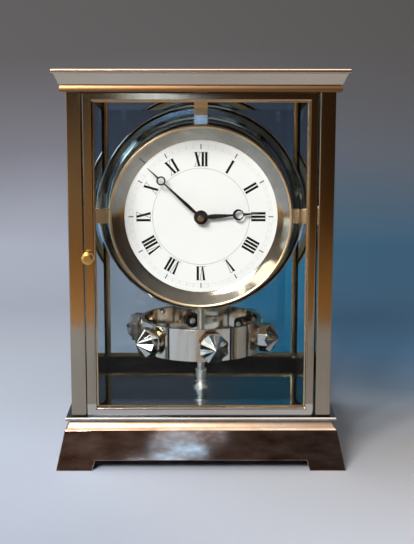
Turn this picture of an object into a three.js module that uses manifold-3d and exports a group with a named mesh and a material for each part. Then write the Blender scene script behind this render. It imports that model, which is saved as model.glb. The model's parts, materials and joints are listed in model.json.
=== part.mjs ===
// A torsion pendulum clock in a glazed metal case, in millimetres.
// X runs to the right, Y to the back and Z up. The origin is the middle of the underside.
import * as THREE from "three";
import { mergeVertices } from "three/addons/utils/BufferGeometryUtils.js";
import Module from "manifold-3d";

const wasm = await Module();
wasm.setup();

// Clearances
const seatGap = 0.3; // between two fixed pieces that seat on each other
const runningGap = 0.3; // between a turning or sliding piece and its bearing
const playGap = 0.5; // beside a wheel or a blade that must never rub

// The case: posts, plinth, floor and cornice
const caseWidth = 154;
const caseDepth = 126;
const postWidth = 9;
const postHeight = 191;
const postEdgeRadius = 0.8;
const plinthHeight = 23.4;
const plinthFootOverhang = 9.1;
const plinthBrowOverhang = 3.9;
const plinthWall = 3;
const footLength = 21.6;
const footGapHeight = 6;
const footGapSlant = 1.6;
const browHeight = 4.8;
const neckHeight = 0.8;
const neckOverhang = 1;
// The brow's hollow curve, as shares of its depth left and of its height gone
const browCurve = [
  [0.6, 0.22],
  [0.3, 0.5],
  [0.1, 0.78],
];
const floorThickness = 2;
const floorOverhang = 3.5;
const floorBevel = 0.5;
const corniceBandHeight = 4.2;
const corniceBandOverhang = 1.8;
const corniceBandBulge = 1.4;
// The band's round, as shares of its bulge and of its height
const bandCurve = [
  [0, 0],
  [0.6, 0.06],
  [1, 0.25],
  [1, 0.6],
  [0.6, 0.9],
  [0, 1],
];
const corniceSlopeHeight = 6.4;
const corniceSlopeFoot = 3.2;
const corniceSlopeTop = 6;
const corniceCapHeight = 2.4;
const corniceCapOverhang = 7.5;
const corniceRoof = 3.4;
const corniceEdge = 0.6;

// The four glazed walls: the door in front, two sides and the back
const wallThickness = 5;
const stileWidth = 5.9;
const railHeight = 4.9;
const backStileWidth = 4.3;
const backRailHeight = 7.4;
const wallLip = 1.8;
const rebateWidth = 2;
const openingBevel = 0.7;
const glassEdge = 1.6;
const glassThickness = 3;
const glassBevel = 6.7;
const hingePinRadius = 0.9;
const hingePinReach = 2.3;
const hingePinSink = 1.5; // into the cornice
const latchHeight = 127;
const latchInset = 2.2;
const latchShaftRadius = 1.1;
const knobRadius = 3.9;
const knobLength = 6.2;
const tongueReach = 5.4;
const tongueWidth = 3;
const tongueThickness = 1.4;
// The knob's outline, as shares of its radius and length from the door out
const knobOutline = [
  [0.62, 0],
  [0.5, 0.3],
  [0.85, 0.42],
  [1, 0.6],
  [0.92, 0.85],
  [0.55, 1],
  [0, 1],
];

// The movement's carrier, hung in the case on two pillars and the roof
const carrierFace = -21;
const carrierThickness = 4;
const carrierOuterRadius = 53;
const carrierInnerRadius = 40;
const armWidth = 8.4;
const armRootFlare = 1.5;
const armRootFlareLength = 2.5;
const armFlare = 5.4; // at the far end
const armFlareLength = 9.5;
const pillarWidth = 4.9;
const pillarDepth = 6;

// The dial, its bezel and the hands
const dialRadius = 50.3;
const dialThickness = 2;
const dialHoleRadius = 4;
const bezelOuterRadius = 56;
const bezelRimRadius = 54.4;
const bezelSightRadius = 46.8;
const bezelRise = 5.2;
const bezelCoveDepth = 0.8;
const bezelRimRound = 0.7;
const handThickness = 0.7;
const handNutRadius = 1.9;
const handNutLength = 1.6;
const handNutChamfer = 0.35;
const hourHandRise = 3.6;
const minuteHandRise = 6;
const hourHubRadius = 4.4;
const minuteHubRadius = 2.9;
const hourHandDegrees = 86;
const minuteHandDegrees = 313;
const handOverlap = 0.9; // the share of a ring's or hub's radius where the next piece starts
const tipRootShare = 0.75; // half widths of the point, as shares of the neck's width
const tipEndShare = 0.2;
// Each hand's outline, as shares of the dial's radius
const minuteHandShares = {
  length: 0.877,
  moonAt: 0.656,
  moonRadius: 0.0557,
  moonHole: 0.0388,
  moonHoleShift: 0,
  leafWidth: 0.0398,
  leafAt: 0.2386,
  neckWidth: 0.0149,
};
const hourHandShares = {
  length: 0.6879,
  moonAt: 0.4533,
  moonRadius: 0.0686,
  moonHole: 0.0467,
  moonHoleShift: 0.0119,
  leafWidth: 0.0577,
  leafAt: 0.169,
  neckWidth: 0.0219,
};

// The movement: two plates on four pillars, the train and the motion work
const plateRadius = 46;
const plateThickness = 2;
const plateGap = 9;
const plateCutDrop = 38.3;
const platePillarRadius = 2;
const platePillarPitch = 38;
const centreArborRadius = 1.1;
const arborRadius = 0.8;
const barrelArborRadius = 1.5;
const centreWheelInset = 1.8;
const barrelTeeth = 60;
const centrePinionLeaves = 12;
const barrelModule = 0.6;
const barrelDrumRadius = 15.5;
const barrelDrumDepth = 5;
const barrelRim = 1.2;
const barrelRimStep = 0.4;
const barrelCoverDrop = 0.6;
const centreTeeth = 48;
const escapePinionLeaves = 12;
const escapeModule = 0.5;
const escapeTeeth = 15;
const escapeRadius = 7;
const escapeToothDepth = 1.8;
const escapeToothRake = 0.28; // shares of the tooth pitch
const escapeTipShare = 0.14;
const escapeRootShare = 0.4;
const wheelThickness = 1.2;
const centreWheelSpokes = { hub: 3.2, rim: 2.2, count: 5, width: 1.4 };
const escapeWheelSpokes = { hub: 1.9, rim: 0.9, count: 4, width: 0.9 };
const pinionLength = 2.4;
const cannonLeaves = 12;
const minuteTeeth = 36;
const minutePinionLeaves = 10;
const hourTeeth = 40;
const motionModule = 0.5;
const motionWheelThickness = 1;
const minuteStudRadius = 0.9;
const cannonPipeRadius = 2.2;
const hourPipeRadius = 3.3;
// Spur wheels have pointed teeth and pinions blunt leaves, thin enough to keep backlash all round
const toothAddendum = 0.8; // in modules
const toothDedendum = 1.15;
const toothRootShare = 0.28; // of the tooth pitch, on each side
const leafTipShare = 0.1;
const leverDrop = 11.5;
const leverThickness = 2;
const leverLength = 24;
const palletReach = 8.3;
const palletSpan = 100;
const archWidth = 2;
const leverTailRoot = 1.2; // half widths
const leverTailEnd = 0.7;
const leverHubRadius = 2.4;
const forkSlot = 2.4;
const forkTineWidth = 1.3;
const forkTineLength = 3;

// The rocking drum that winds the spring, and its bridge
const drumRadius = 61;
const drumFlangeRadius = 66.6;
const drumFlangeThickness = 1.6;
const drumLip = 1; // the rolled edge of the front shell's flange
// The rolled edge's outline, as shares of its size inwards and forwards
const lipOutline = [
  [1.2, 0],
  [0.9, 0.75],
  [0.5, 1],
  [0.12, 0.75],
  [0, 0.3],
];
const drumFrontDepth = 7;
const drumDepth = 36;
const drumShoulder = 5;
const drumWall = 1.6;
const drumArborRadius = 3;
const drumArborFootRadius = 6;
const drumArborFootDepth = 2.7;
const drumArborTail = 3;
const expansionTubeRadius = 6;
const expansionTubeSweep = 300;
const expansionTubeSteps = 24;
const expansionTubeFacets = 4;
const bridgeThickness = 3;
const bridgeHeight = 12;
const bridgeBossRadius = 11;
const bridgeGap = 2;

// The suspension and the pendulum
const suspensionTubeRadius = 2.6;
const suspensionTubeBore = 1.6;
const suspensionCollarRadius = 3.6;
const suspensionCollarHeight = 2;
const suspensionRise = 44.2; // of the bracket's top over the dial's centre
const bracketHeight = 10;
const bracketWidth = 16;
const bracketWall = 1.4;
const wireRadius = 0.4;
const wireSocket = 2.8;
const clampRadius = 3.4;
const clampHeight = 5;
const clampChamfer = 1;
const ringRadius = 38.6;
const ringWall = 2.5;
const ringHeight = 20;
const ringDrop = 0.9; // from the drum's flange to the top of the ring
const pendulumRise = 27.2; // from the floor plate to the underside of the ring
const seamWidth = 1.4;
const seamDepth = 1.1;
const seamOffset = 18.5;
const weightCount = 6;
const weightPhase = 10;
const weightAcross = 17.2;
const weightLength = 8.6;
const weightTip = 5.2;
const weightSides = 8;
const weightFlute = 2; // how far each side's middle falls back behind its corners
const weightNeckRadius = 6.4;
const weightNeckLength = 2.2;
const weightScrewRadius = 1.8;
const weightNutRadius = 5;
const weightNutLength = 2.6;
const weightNutGap = 0.8; // the nut's flat back clears the hollow of the band
const spokeCount = 3;
const spokePhase = 40;
const spokeWidth = 8;
const spokeThickness = 3;
const hubRadius = 8;
const pendulumArborRadius = 2.25;
const arborCollar = 1.4;
const arborTipChamfer = 0.9;
const rollerDrop = 2.4; // from the fork's tip to the top of the roller
const arborAboveRoller = 10.1;
const rollerThickness = 2;
const rollerRadius = 4;
const impulsePinReach = 9;
const impulsePinRadius = 0.8;
const rollerNose = 1;
const rollerArmWidth = 2.6;

// The lock that lifts and holds the pendulum for a move
const lockCupRadius = 3.25;
const lockCupWall = 0.6;
const lockCupHeight = 6;
const lockCupBead = 0.5;
const lockCupBeadHeight = 1.3;
const lockTravel = 2.5;
const lockStemRadius = 1.6;
const lockGuideHeight = 6.7;
const lockGuideRadius = 4.7;
const lockGuideRim = 1;
const lockGuideNeckRadius = 3.25;
const lockGuideTopRadius = 2.75;
const lockGuideBeadRadius = 3.9;
const lockGuideBeadHeight = 1.2;
const lockLeverHeight = 16;
const lockLeverThickness = 2;
const lockLeverWidth = 9;
const lockRampWidth = 6.4;
const lockLeverPivotX = 20;
const lockLeverReach = 52;
const lockLeverTab = 9;
const lockStudRadius = 2;
const lockSwingDegrees = 12;

// Facets
const fineSides = 60;
const drumSides = 40;
const roundSides = 36;
const smallSides = 16;
const pinSides = 12;
const wireSides = 8;
const arcSteps = 6; // a full circle in an outline gets twice as many

// Sizes that follow from the driving ones
const halfWidth = caseWidth / 2;
const halfDepth = caseDepth / 2;
const browTop = plinthHeight + browHeight;
const neckTop = browTop + neckHeight;
const floorTop = neckTop + floorThickness;
const postTop = floorTop + postHeight;
const ringBottom = floorTop + pendulumRise;
const ringTop = ringBottom + ringHeight;
const dialHeight = ringTop + ringDrop + drumFlangeRadius;
const lockCupBottom = floorTop + lockGuideHeight + seatGap;
const corniceTop = postTop + corniceBandHeight + corniceSlopeHeight + corniceCapHeight;
const corniceCavityTop = corniceTop - corniceRoof;
const innerHalfWidth = halfWidth - postWidth;
const innerHalfDepth = halfDepth - postWidth;
const carrierBack = carrierFace + carrierThickness;
const plateBack = carrierBack + plateThickness;
const rearPlateFace = plateBack + plateGap;
const rearPlateBack = rearPlateFace + plateThickness;
const dialFace = carrierFace - dialThickness;
const doorWall = {
  half: innerHalfWidth - seatGap,
  face: halfDepth,
  stile: stileWidth,
  low: railHeight,
  top: railHeight,
};
const sideWall = {
  half: innerHalfDepth - seatGap,
  face: halfWidth - seatGap,
  stile: stileWidth,
  low: railHeight,
  top: railHeight,
};
const backWall = {
  half: innerHalfWidth - seatGap,
  face: halfDepth,
  stile: backStileWidth,
  low: backRailHeight,
  top: railHeight,
};
const wallBottom = floorTop + seatGap;
const wallTop = postTop - seatGap;
const hingeX = doorWall.half - wallThickness / 2;
const hingeY = -halfDepth + wallThickness / 2;
const latchX = -doorWall.half + latchInset;
const lockStemEnd = lockLeverHeight + lockLeverThickness + runningGap;
const rampFoot = lockStemRadius + runningGap;
const rampRun = lockLeverPivotX * THREE.MathUtils.degToRad(lockSwingDegrees);
const pillarInner = sideWall.face - wallThickness - seatGap - pillarWidth;

// Materials
const finish = (color, metalness, roughness) =>
  new THREE.MeshStandardMaterial({ color, metalness, roughness });
const nickelBrass = finish(0xa8997f, 1, 0.22);
const darkNickel = finish(0x6f6a66, 1, 0.18);
const polishedSteel = finish(0xc4c8cb, 1, 0.15);
const gildedBrass = finish(0xb8934e, 1, 0.3);
const dialWhite = finish(0xf1efe8, 0, 0.45);
const bluedSteel = finish(0x14161c, 0.8, 0.3);
const glass = new THREE.MeshStandardMaterial({
  color: 0xdfeceb,
  metalness: 0,
  roughness: 0.04,
  transparent: true,
  opacity: 0.25,
});

// Solid building
function manifoldOf(positions, corners) {
  return new wasm.Manifold(
    new wasm.Mesh({ numProp: 3, vertProperties: positions, triVerts: new Uint32Array(corners) }),
  );
}

function solidFrom(geometry) {
  const loose = geometry.index ? geometry.toNonIndexed() : geometry;
  const bare = new THREE.BufferGeometry();
  bare.setAttribute("position", loose.getAttribute("position"));
  const merged = mergeVertices(bare, 1e-4);
  const corners = merged.index.array;
  const kept = [];
  const turned = [];
  for (let i = 0; i < corners.length; i += 3) {
    const a = corners[i];
    const b = corners[i + 1];
    const c = corners[i + 2];
    if (a === b || b === c || c === a) continue;
    kept.push(a, b, c);
    turned.push(a, c, b);
  }
  const positions = merged.attributes.position.array;
  const made = manifoldOf(positions, kept);
  return made.volume() < 0 ? manifoldOf(positions, turned) : made;
}

function geometryFrom(solid) {
  const mesh = solid.getMesh();
  const positions = new Float32Array(mesh.numVert * 3);
  for (let i = 0; i < mesh.numVert; i++) {
    for (let k = 0; k < 3; k++) positions[3 * i + k] = mesh.vertProperties[mesh.numProp * i + k];
  }
  const geometry = new THREE.BufferGeometry();
  geometry.setAttribute("position", new THREE.BufferAttribute(positions, 3));
  geometry.setIndex(new THREE.BufferAttribute(mesh.triVerts, 1));
  geometry.computeVertexNormals();
  return geometry;
}

const join = (first, ...others) => others.reduce((whole, piece) => whole.add(piece), first);
const cut = (first, ...tools) => tools.reduce((whole, tool) => whole.subtract(tool), first);

// Each range is a [low, high] pair.
function block(xRange, yRange, zRange) {
  const ranges = [xRange, yRange, zRange];
  const geometry = new THREE.BoxGeometry(...ranges.map(([low, high]) => high - low));
  geometry.translate(...ranges.map(([low, high]) => (low + high) / 2));
  return solidFrom(geometry);
}

// A profile is a list of [radius, place along the axis]; a ring's profile closes on itself.
function turned(profile, sides) {
  return new THREE.LatheGeometry(
    profile.map(([radius, along]) => new THREE.Vector2(radius, along)),
    sides,
  );
}

const turnedAlongY = (profile, sides = roundSides) => solidFrom(turned(profile, sides));
const turnedAlongZ = (profile, sides = roundSides) =>
  solidFrom(turned(profile, sides).rotateX(Math.PI / 2));
const closed = (profile) => [...profile, profile[0]];
const rodProfile = (radius, low, high) => [
  [0, low],
  [radius, low],
  [radius, high],
  [0, high],
];
const tubeProfile = (bore, radius, low, high) =>
  closed([
    [bore, low],
    [radius, low],
    [radius, high],
    [bore, high],
  ]);
const rodAlongY = (radius, low, high, sides = smallSides) =>
  turnedAlongY(rodProfile(radius, low, high), sides);
const rodAlongZ = (radius, low, high, sides = smallSides) =>
  turnedAlongZ(rodProfile(radius, low, high), sides);

// An outline drawn in X and Z becomes a plate between two places along Y.
function plateAlongY(outline, front, back, curveSegments = arcSteps) {
  const depth = back - front;
  const geometry = new THREE.ExtrudeGeometry(outline, { depth, bevelEnabled: false, curveSegments });
  geometry.rotateX(Math.PI / 2).translate(0, back, 0);
  return solidFrom(geometry);
}

// An outline drawn in X and Y becomes a plate between two heights.
function plateAlongZ(outline, low, high, curveSegments = arcSteps) {
  const depth = high - low;
  const geometry = new THREE.ExtrudeGeometry(outline, { depth, bevelEnabled: false, curveSegments });
  geometry.translate(0, 0, low);
  return solidFrom(geometry);
}

function moved(solid, x, y, z) {
  return solidFrom(geometryFrom(solid).translate(x, y, z));
}

// A four-sided loft through rectangles, each given as [half width, half depth, height].
function rectangleLoft(sections) {
  const positions = [];
  for (const [halfX, halfY, z] of sections) {
    positions.push(-halfX, -halfY, z, halfX, -halfY, z, halfX, halfY, z, -halfX, halfY, z);
  }
  const corners = [0, 2, 1, 0, 3, 2];
  for (let ring = 0; ring + 1 < sections.length; ring++) {
    for (let side = 0; side < 4; side++) {
      const a = 4 * ring + side;
      const b = 4 * ring + ((side + 1) % 4);
      corners.push(a, b, b + 4, a, b + 4, a + 4);
    }
  }
  const top = 4 * (sections.length - 1);
  corners.push(top, top + 1, top + 2, top, top + 2, top + 3);
  const geometry = new THREE.BufferGeometry();
  geometry.setAttribute("position", new THREE.BufferAttribute(new Float32Array(positions), 3));
  geometry.setIndex(corners);
  return solidFrom(geometry);
}

// The same loft with its sections [half width, half height, place along Y], its rectangles upright.
function uprightLoft(sections, middleHeight) {
  const standing = rectangleLoft(sections.map(([halfX, halfZ, y]) => [halfX, halfZ, -y]).reverse());
  return solidFrom(geometryFrom(standing).rotateX(Math.PI / 2).translate(0, 0, middleHeight));
}

// Sections that run round the case's outline at the given overhangs.
const aroundCase = (steps) => steps.map(([overhang, z]) => [halfWidth + overhang, halfDepth + overhang, z]);

const clock = new THREE.Group();

function addPiece(name, solid, material, parent = clock) {
  const mesh = new THREE.Mesh(geometryFrom(solid), material);
  mesh.name = name;
  parent.add(mesh);
  return mesh;
}

// The plinth stands on four bracket feet and is open underneath
function plinth() {
  const shell = rectangleLoft(
    aroundCase([
      [plinthFootOverhang, 0],
      [plinthBrowOverhang, plinthHeight],
      ...browCurve.map(([out, up]) => [
        neckOverhang + (plinthBrowOverhang - neckOverhang) * out,
        plinthHeight + browHeight * up,
      ]),
      [neckOverhang, browTop],
      [neckOverhang, neckTop],
    ]),
  );
  const hollow = rectangleLoft(
    aroundCase([
      [plinthFootOverhang - plinthWall, -1],
      [plinthBrowOverhang - plinthWall, plinthHeight - plinthWall],
      [neckOverhang - plinthWall, neckTop - plinthWall],
    ]),
  );
  const footHalfX = halfWidth + plinthFootOverhang;
  const footHalfY = halfDepth + plinthFootOverhang;
  const footGap = (half, across) => {
    const low = half - footLength;
    return rectangleLoft([
      [low + footGapSlant / 4, across, -1],
      [low - footGapSlant, across, footGapHeight],
    ]);
  };
  const sideGap = solidFrom(geometryFrom(footGap(footHalfY, footHalfX + 1)).rotateZ(Math.PI / 2));
  const stud = rodAlongZ(lockStudRadius, lockLeverHeight - seatGap, neckTop - plinthWall / 2);
  return cut(
    join(cut(shell, hollow, footGap(footHalfX, footHalfY + 1), sideGap), moved(stud, lockLeverPivotX, 0, 0)),
    rodAlongZ(lockStemRadius + runningGap, plinthHeight - plinthWall, neckTop + 1),
  );
}

function floorPlate() {
  const plate = rectangleLoft(
    aroundCase([
      [floorOverhang - floorBevel, neckTop],
      [floorOverhang, neckTop + floorBevel],
      [floorOverhang, floorTop - floorBevel],
      [floorOverhang - floorBevel, floorTop],
    ]),
  );
  const stemHole = rodAlongZ(lockStemRadius + runningGap, neckTop - 1, floorTop + 1);
  const pinHole = rodAlongZ(hingePinRadius + seatGap, neckTop - 1, floorTop + 1);
  return cut(plate, stemHole, moved(pinHole, hingeX, hingeY, 0));
}

function cornice() {
  const slopeBottom = postTop + corniceBandHeight;
  const capBottom = slopeBottom + corniceSlopeHeight;
  const moulding = rectangleLoft(
    aroundCase([
      ...bandCurve.map(([out, up]) => [
        corniceBandOverhang + corniceBandBulge * out,
        postTop + corniceBandHeight * up,
      ]),
      [corniceSlopeFoot, slopeBottom],
      [corniceSlopeTop, capBottom],
      [corniceCapOverhang - corniceEdge, capBottom],
      [corniceCapOverhang, capBottom + corniceEdge],
      [corniceCapOverhang, corniceTop - corniceEdge],
      [corniceCapOverhang - corniceEdge, corniceTop],
    ]),
  );
  const cavity = block(
    [-innerHalfWidth + postEdgeRadius, innerHalfWidth - postEdgeRadius],
    [-innerHalfDepth, innerHalfDepth],
    [postTop - 1, corniceCavityTop],
  );
  const pinHole = rodAlongZ(hingePinRadius + seatGap, postTop - 1, postTop + hingePinSink + seatGap);
  return cut(moulding, cavity, moved(pinHole, hingeX, hingeY, 0));
}

// The door's latch turns into a slot in the front left post
function cornerPost(signX, signY) {
  const half = postWidth / 2;
  const straight = half - postEdgeRadius;
  const outline = new THREE.Shape();
  outline.absarc(straight, straight, postEdgeRadius, 0, Math.PI / 2);
  outline.absarc(-straight, straight, postEdgeRadius, Math.PI / 2, Math.PI);
  outline.absarc(-straight, -straight, postEdgeRadius, Math.PI, 1.5 * Math.PI);
  outline.absarc(straight, -straight, postEdgeRadius, 1.5 * Math.PI, 2 * Math.PI);
  const post = plateAlongZ(outline, floorTop, postTop, 2);
  return moved(post, signX * (halfWidth - half), signY * (halfDepth - half), 0);
}

function latchSlot() {
  const reach = -latchX + tongueReach + playGap;
  const tongueFace = -halfDepth + wallThickness + runningGap;
  return block(
    [-reach, -innerHalfWidth + 1],
    [tongueFace - playGap / 2, tongueFace + tongueThickness + playGap],
    [latchHeight - tongueWidth / 2 - playGap, latchHeight + tongueReach + playGap],
  );
}

// A wall's frame faces the front; a lip holds the pane from outside
function wallFrame(wall) {
  const low = wallBottom + wall.low;
  const high = wallTop - wall.top;
  const middle = (low + high) / 2;
  const halfHigh = (high - low) / 2;
  const open = wall.half - wall.stile;
  const front = -wall.face;
  const body = block([-wall.half, wall.half], [front, front + wallThickness], [wallBottom, wallTop]);
  const opening = uprightLoft(
    [
      [open + openingBevel, halfHigh + openingBevel, front - seatGap],
      [open + openingBevel, halfHigh + openingBevel, front],
      [open, halfHigh, front + openingBevel],
      [open, halfHigh, front + wallThickness + 1],
    ],
    middle,
  );
  const rebate = uprightLoft(
    [
      [open + rebateWidth, halfHigh + rebateWidth, front + wallLip],
      [open + rebateWidth, halfHigh + rebateWidth, front + wallThickness + 1],
    ],
    middle,
  );
  return cut(body, opening, rebate);
}

// The pane's bevelled border faces out
function wallPane(wall) {
  const low = wallBottom + wall.low;
  const high = wallTop - wall.top;
  const halfHigh = (high - low) / 2 + rebateWidth - seatGap;
  const half = wall.half - wall.stile + rebateWidth - seatGap;
  const edgeFront = -wall.face + wallLip + seatGap + playGap;
  return uprightLoft(
    [
      [half - glassBevel, halfHigh - glassBevel, edgeFront + glassEdge - glassThickness],
      [half, halfHigh, edgeFront],
      [half, halfHigh, edgeFront + glassEdge],
    ],
    (low + high) / 2,
  );
}

// The door's right edge is round about its hinge pins
function doorFrame() {
  const round = wallThickness / 2;
  const edgeFrom = (x) =>
    block([x, hingeX + round + 1], [hingeY - round - 1, hingeY + round + 1], [wallBottom - 1, wallTop + 1]);
  const rounded = moved(rodAlongZ(round, wallBottom, wallTop), hingeX, hingeY, 0);
  const edge = rounded.intersect(edgeFrom(hingeX - seatGap));
  const bore = hingePinRadius + runningGap;
  const boreDepth = hingePinReach + runningGap;
  const bottomHole = rodAlongZ(bore, wallBottom - 1, wallBottom + boreDepth);
  const topHole = rodAlongZ(bore, wallTop - boreDepth, wallTop + 1);
  const latchHole = rodAlongY(latchShaftRadius + runningGap, -halfDepth - 1, -halfDepth + wallThickness + 1);
  return cut(
    join(cut(wallFrame(doorWall), edgeFrom(hingeX)), edge),
    moved(bottomHole, hingeX, hingeY, 0),
    moved(topHole, hingeX, hingeY, 0),
    moved(latchHole, latchX, 0, latchHeight),
  );
}

// The knob, its shaft and the tongue turn as one; the tongue stands upright when the door is free
function doorLatch() {
  const front = -halfDepth - runningGap;
  const back = -halfDepth + wallThickness + runningGap;
  const knob = turnedAlongY(
    [
      [0, back + tongueThickness],
      [latchShaftRadius, back + tongueThickness],
      [latchShaftRadius, front],
      ...knobOutline.map(([across, along]) => [knobRadius * across, front - knobLength * along]),
    ],
    smallSides,
  );
  const tongue = block(
    [-tongueWidth / 2, tongueWidth / 2],
    [back, back + tongueThickness],
    [-tongueWidth / 2, tongueReach],
  );
  return join(knob, tongue);
}

function addCase() {
  addPiece("base_plinth", plinth(), darkNickel);
  addPiece("floor_plate", floorPlate(), darkNickel);
  addPiece("corner_post_front_left", cut(cornerPost(-1, -1), latchSlot()), nickelBrass);
  addPiece("corner_post_front_right", cornerPost(1, -1), nickelBrass);
  addPiece("corner_post_back_left", cornerPost(-1, 1), nickelBrass);
  addPiece("corner_post_back_right", cornerPost(1, 1), nickelBrass);
  addPiece("cornice", cornice(), nickelBrass);
  addPiece("door_frame", doorFrame(), nickelBrass);
  addPiece("door_glass", wallPane(doorWall), glass);
  const latch = addPiece("door_latch", doorLatch(), gildedBrass);
  latch.position.set(latchX, 0, latchHeight);
  for (const [name, z] of [
    ["hinge_pin_lower", [neckTop, wallBottom + hingePinReach]],
    ["hinge_pin_upper", [wallTop - hingePinReach, postTop + hingePinSink]],
  ]) {
    const pin = addPiece(name, rodAlongZ(hingePinRadius, ...z), gildedBrass);
    pin.position.set(hingeX, hingeY, 0);
  }
  for (const [name, wall, turn] of [
    ["right", sideWall, Math.PI / 2],
    ["back", backWall, Math.PI],
    ["left", sideWall, 1.5 * Math.PI],
  ]) {
    const side = new THREE.Group();
    side.rotation.z = turn;
    addPiece(`${name}_frame`, wallFrame(wall), nickelBrass, side);
    addPiece(`${name}_glass`, wallPane(wall), glass, side);
    clock.add(side);
  }
}

addCase();

// The carrier is a ring with three flared arms: two reach the side pillars, one the roof
function carrierArm(root, tip) {
  const half = armWidth / 2;
  const arm = new THREE.Shape();
  arm.moveTo(-half - armRootFlare, root);
  arm.quadraticCurveTo(-half, root, -half, root + armRootFlareLength);
  arm.lineTo(-half, tip - armFlareLength);
  arm.quadraticCurveTo(-half, tip, -half - armFlare, tip);
  arm.lineTo(half + armFlare, tip);
  arm.quadraticCurveTo(half, tip, half, tip - armFlareLength);
  arm.lineTo(half, root + armRootFlareLength);
  arm.quadraticCurveTo(half, root, half + armRootFlare, root);
  return plateAlongY(arm, carrierFace, carrierBack, 3);
}

function movementCarrier() {
  const ring = turnedAlongY(
    tubeProfile(carrierInnerRadius, carrierOuterRadius, carrierFace, carrierBack),
    fineSides,
  );
  const root = carrierOuterRadius - armWidth / 3;
  const sideArm = geometryFrom(carrierArm(root, pillarInner - seatGap)).rotateY(Math.PI / 2);
  return join(
    ring,
    carrierArm(root, corniceCavityTop - seatGap - dialHeight),
    solidFrom(sideArm),
    solidFrom(sideArm.clone().rotateY(Math.PI)),
  );
}

// A pillar stands between the floor and the cornice beside the glass
function casePillar(side, front) {
  const middle = side * (pillarInner + pillarWidth / 2);
  return block(
    [middle - pillarWidth / 2, middle + pillarWidth / 2],
    [front, front + pillarDepth],
    [floorTop, postTop],
  );
}

// The dial, the bezel that covers its edge, and the hands
function dial() {
  return turnedAlongY(tubeProfile(dialHoleRadius, dialRadius, dialFace, carrierFace), fineSides);
}

function bezel() {
  const sight = dialFace - seatGap;
  const rim = dialFace - bezelRise;
  const bore = dialRadius + seatGap;
  return turnedAlongY(
    closed([
      [bore, carrierFace],
      [bezelOuterRadius, carrierFace],
      [bezelOuterRadius, rim + bezelRimRound],
      [bezelOuterRadius - bezelRimRound, rim],
      [bezelRimRadius, rim + seatGap / 2],
      [(bezelRimRadius + bezelSightRadius) / 2, (rim + sight) / 2 + bezelCoveDepth],
      [bezelSightRadius, sight],
      [bore, sight],
    ]),
    fineSides,
  );
}

// A leaf, a ring with its own hole, and a point, drawn upwards from the pivot
function handOutline(shares, hubRadius, bore) {
  const hand = Object.fromEntries(Object.entries(shares).map(([name, share]) => [name, share * dialRadius]));
  const leaf = new THREE.Shape();
  const start = hubRadius * handOverlap;
  const ringIn = hand.moonAt - hand.moonRadius * handOverlap;
  leaf.moveTo(-hand.neckWidth / 2, start);
  leaf.quadraticCurveTo(-hand.leafWidth / 2, start, -hand.leafWidth / 2, hand.leafAt);
  leaf.lineTo(-hand.neckWidth / 2, ringIn);
  leaf.lineTo(hand.neckWidth / 2, ringIn);
  leaf.lineTo(hand.leafWidth / 2, hand.leafAt);
  leaf.quadraticCurveTo(hand.leafWidth / 2, start, hand.neckWidth / 2, start);
  const ring = new THREE.Shape();
  ring.absarc(0, hand.moonAt, hand.moonRadius, 0, 2 * Math.PI);
  const hole = new THREE.Path();
  hole.absarc(0, hand.moonAt + hand.moonHoleShift, hand.moonHole, 0, 2 * Math.PI);
  ring.holes.push(hole);
  const tip = new THREE.Shape();
  const ringOut = hand.moonAt + hand.moonRadius * handOverlap;
  const tipRoot = hand.neckWidth * tipRootShare;
  const tipEnd = hand.neckWidth * tipEndShare;
  tip.moveTo(-tipRoot, ringOut);
  tip.lineTo(-tipEnd, hand.length);
  tip.lineTo(tipEnd, hand.length);
  tip.lineTo(tipRoot, ringOut);
  const hub = new THREE.Shape();
  hub.absarc(0, 0, hubRadius, 0, 2 * Math.PI);
  const pivot = new THREE.Path();
  pivot.absarc(0, 0, bore, 0, 2 * Math.PI);
  hub.holes.push(pivot);
  return { leaf, ring, tip, hub };
}

function handSolid(shares, hubRadius, pipeRadius, rise, turn) {
  const front = dialFace - rise;
  const back = front + handThickness;
  const { leaf, ring, tip, hub } = handOutline(shares, hubRadius, pipeRadius + runningGap);
  const flat = join(
    plateAlongY(leaf, front, back, 4),
    plateAlongY(ring, front, back, 10),
    plateAlongY(tip, front, back),
    plateAlongY(hub, front, back, 8),
  );
  return solidFrom(geometryFrom(flat).rotateY(THREE.MathUtils.degToRad(turn)));
}

function handNut() {
  const back = dialFace - minuteHandRise - seatGap;
  return turnedAlongY(
    closed([
      [centreArborRadius + runningGap, back],
      [handNutRadius, back],
      [handNutRadius, back - handNutLength + handNutChamfer],
      [handNutRadius - handNutChamfer, back - handNutLength],
      [centreArborRadius + runningGap, back - handNutLength],
    ]),
    smallSides,
  );
}

function gearOutline(teeth, module, toothAt, bore, tipShare) {
  const pitch = (teeth * module) / 2;
  const step = (2 * Math.PI) / teeth;
  const root = pitch - toothDedendum * module;
  const tip = pitch + toothAddendum * module;
  const flanks = tipShare > 0 ? [[tip, -tipShare], [tip, tipShare]] : [[tip, 0]];
  const points = [];
  for (let tooth = 0; tooth < teeth; tooth++) {
    for (const [radius, share] of [[root, -toothRootShare], ...flanks, [root, toothRootShare]]) {
      const angle = toothAt + (tooth + share) * step;
      points.push(new THREE.Vector2(radius * Math.cos(angle), radius * Math.sin(angle)));
    }
  }
  const outline = new THREE.Shape(points);
  if (bore > 0) {
    const hole = new THREE.Path();
    hole.absarc(0, 0, bore, 0, 2 * Math.PI);
    outline.holes.push(hole);
  }
  return outline;
}

const wheelOutline = (teeth, module, toothAt, bore = 0) => gearOutline(teeth, module, toothAt, bore, 0);
const pinionOutline = (leaves, module, toothAt, bore = 0) =>
  gearOutline(leaves, module, toothAt, bore, leafTipShare);

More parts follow.
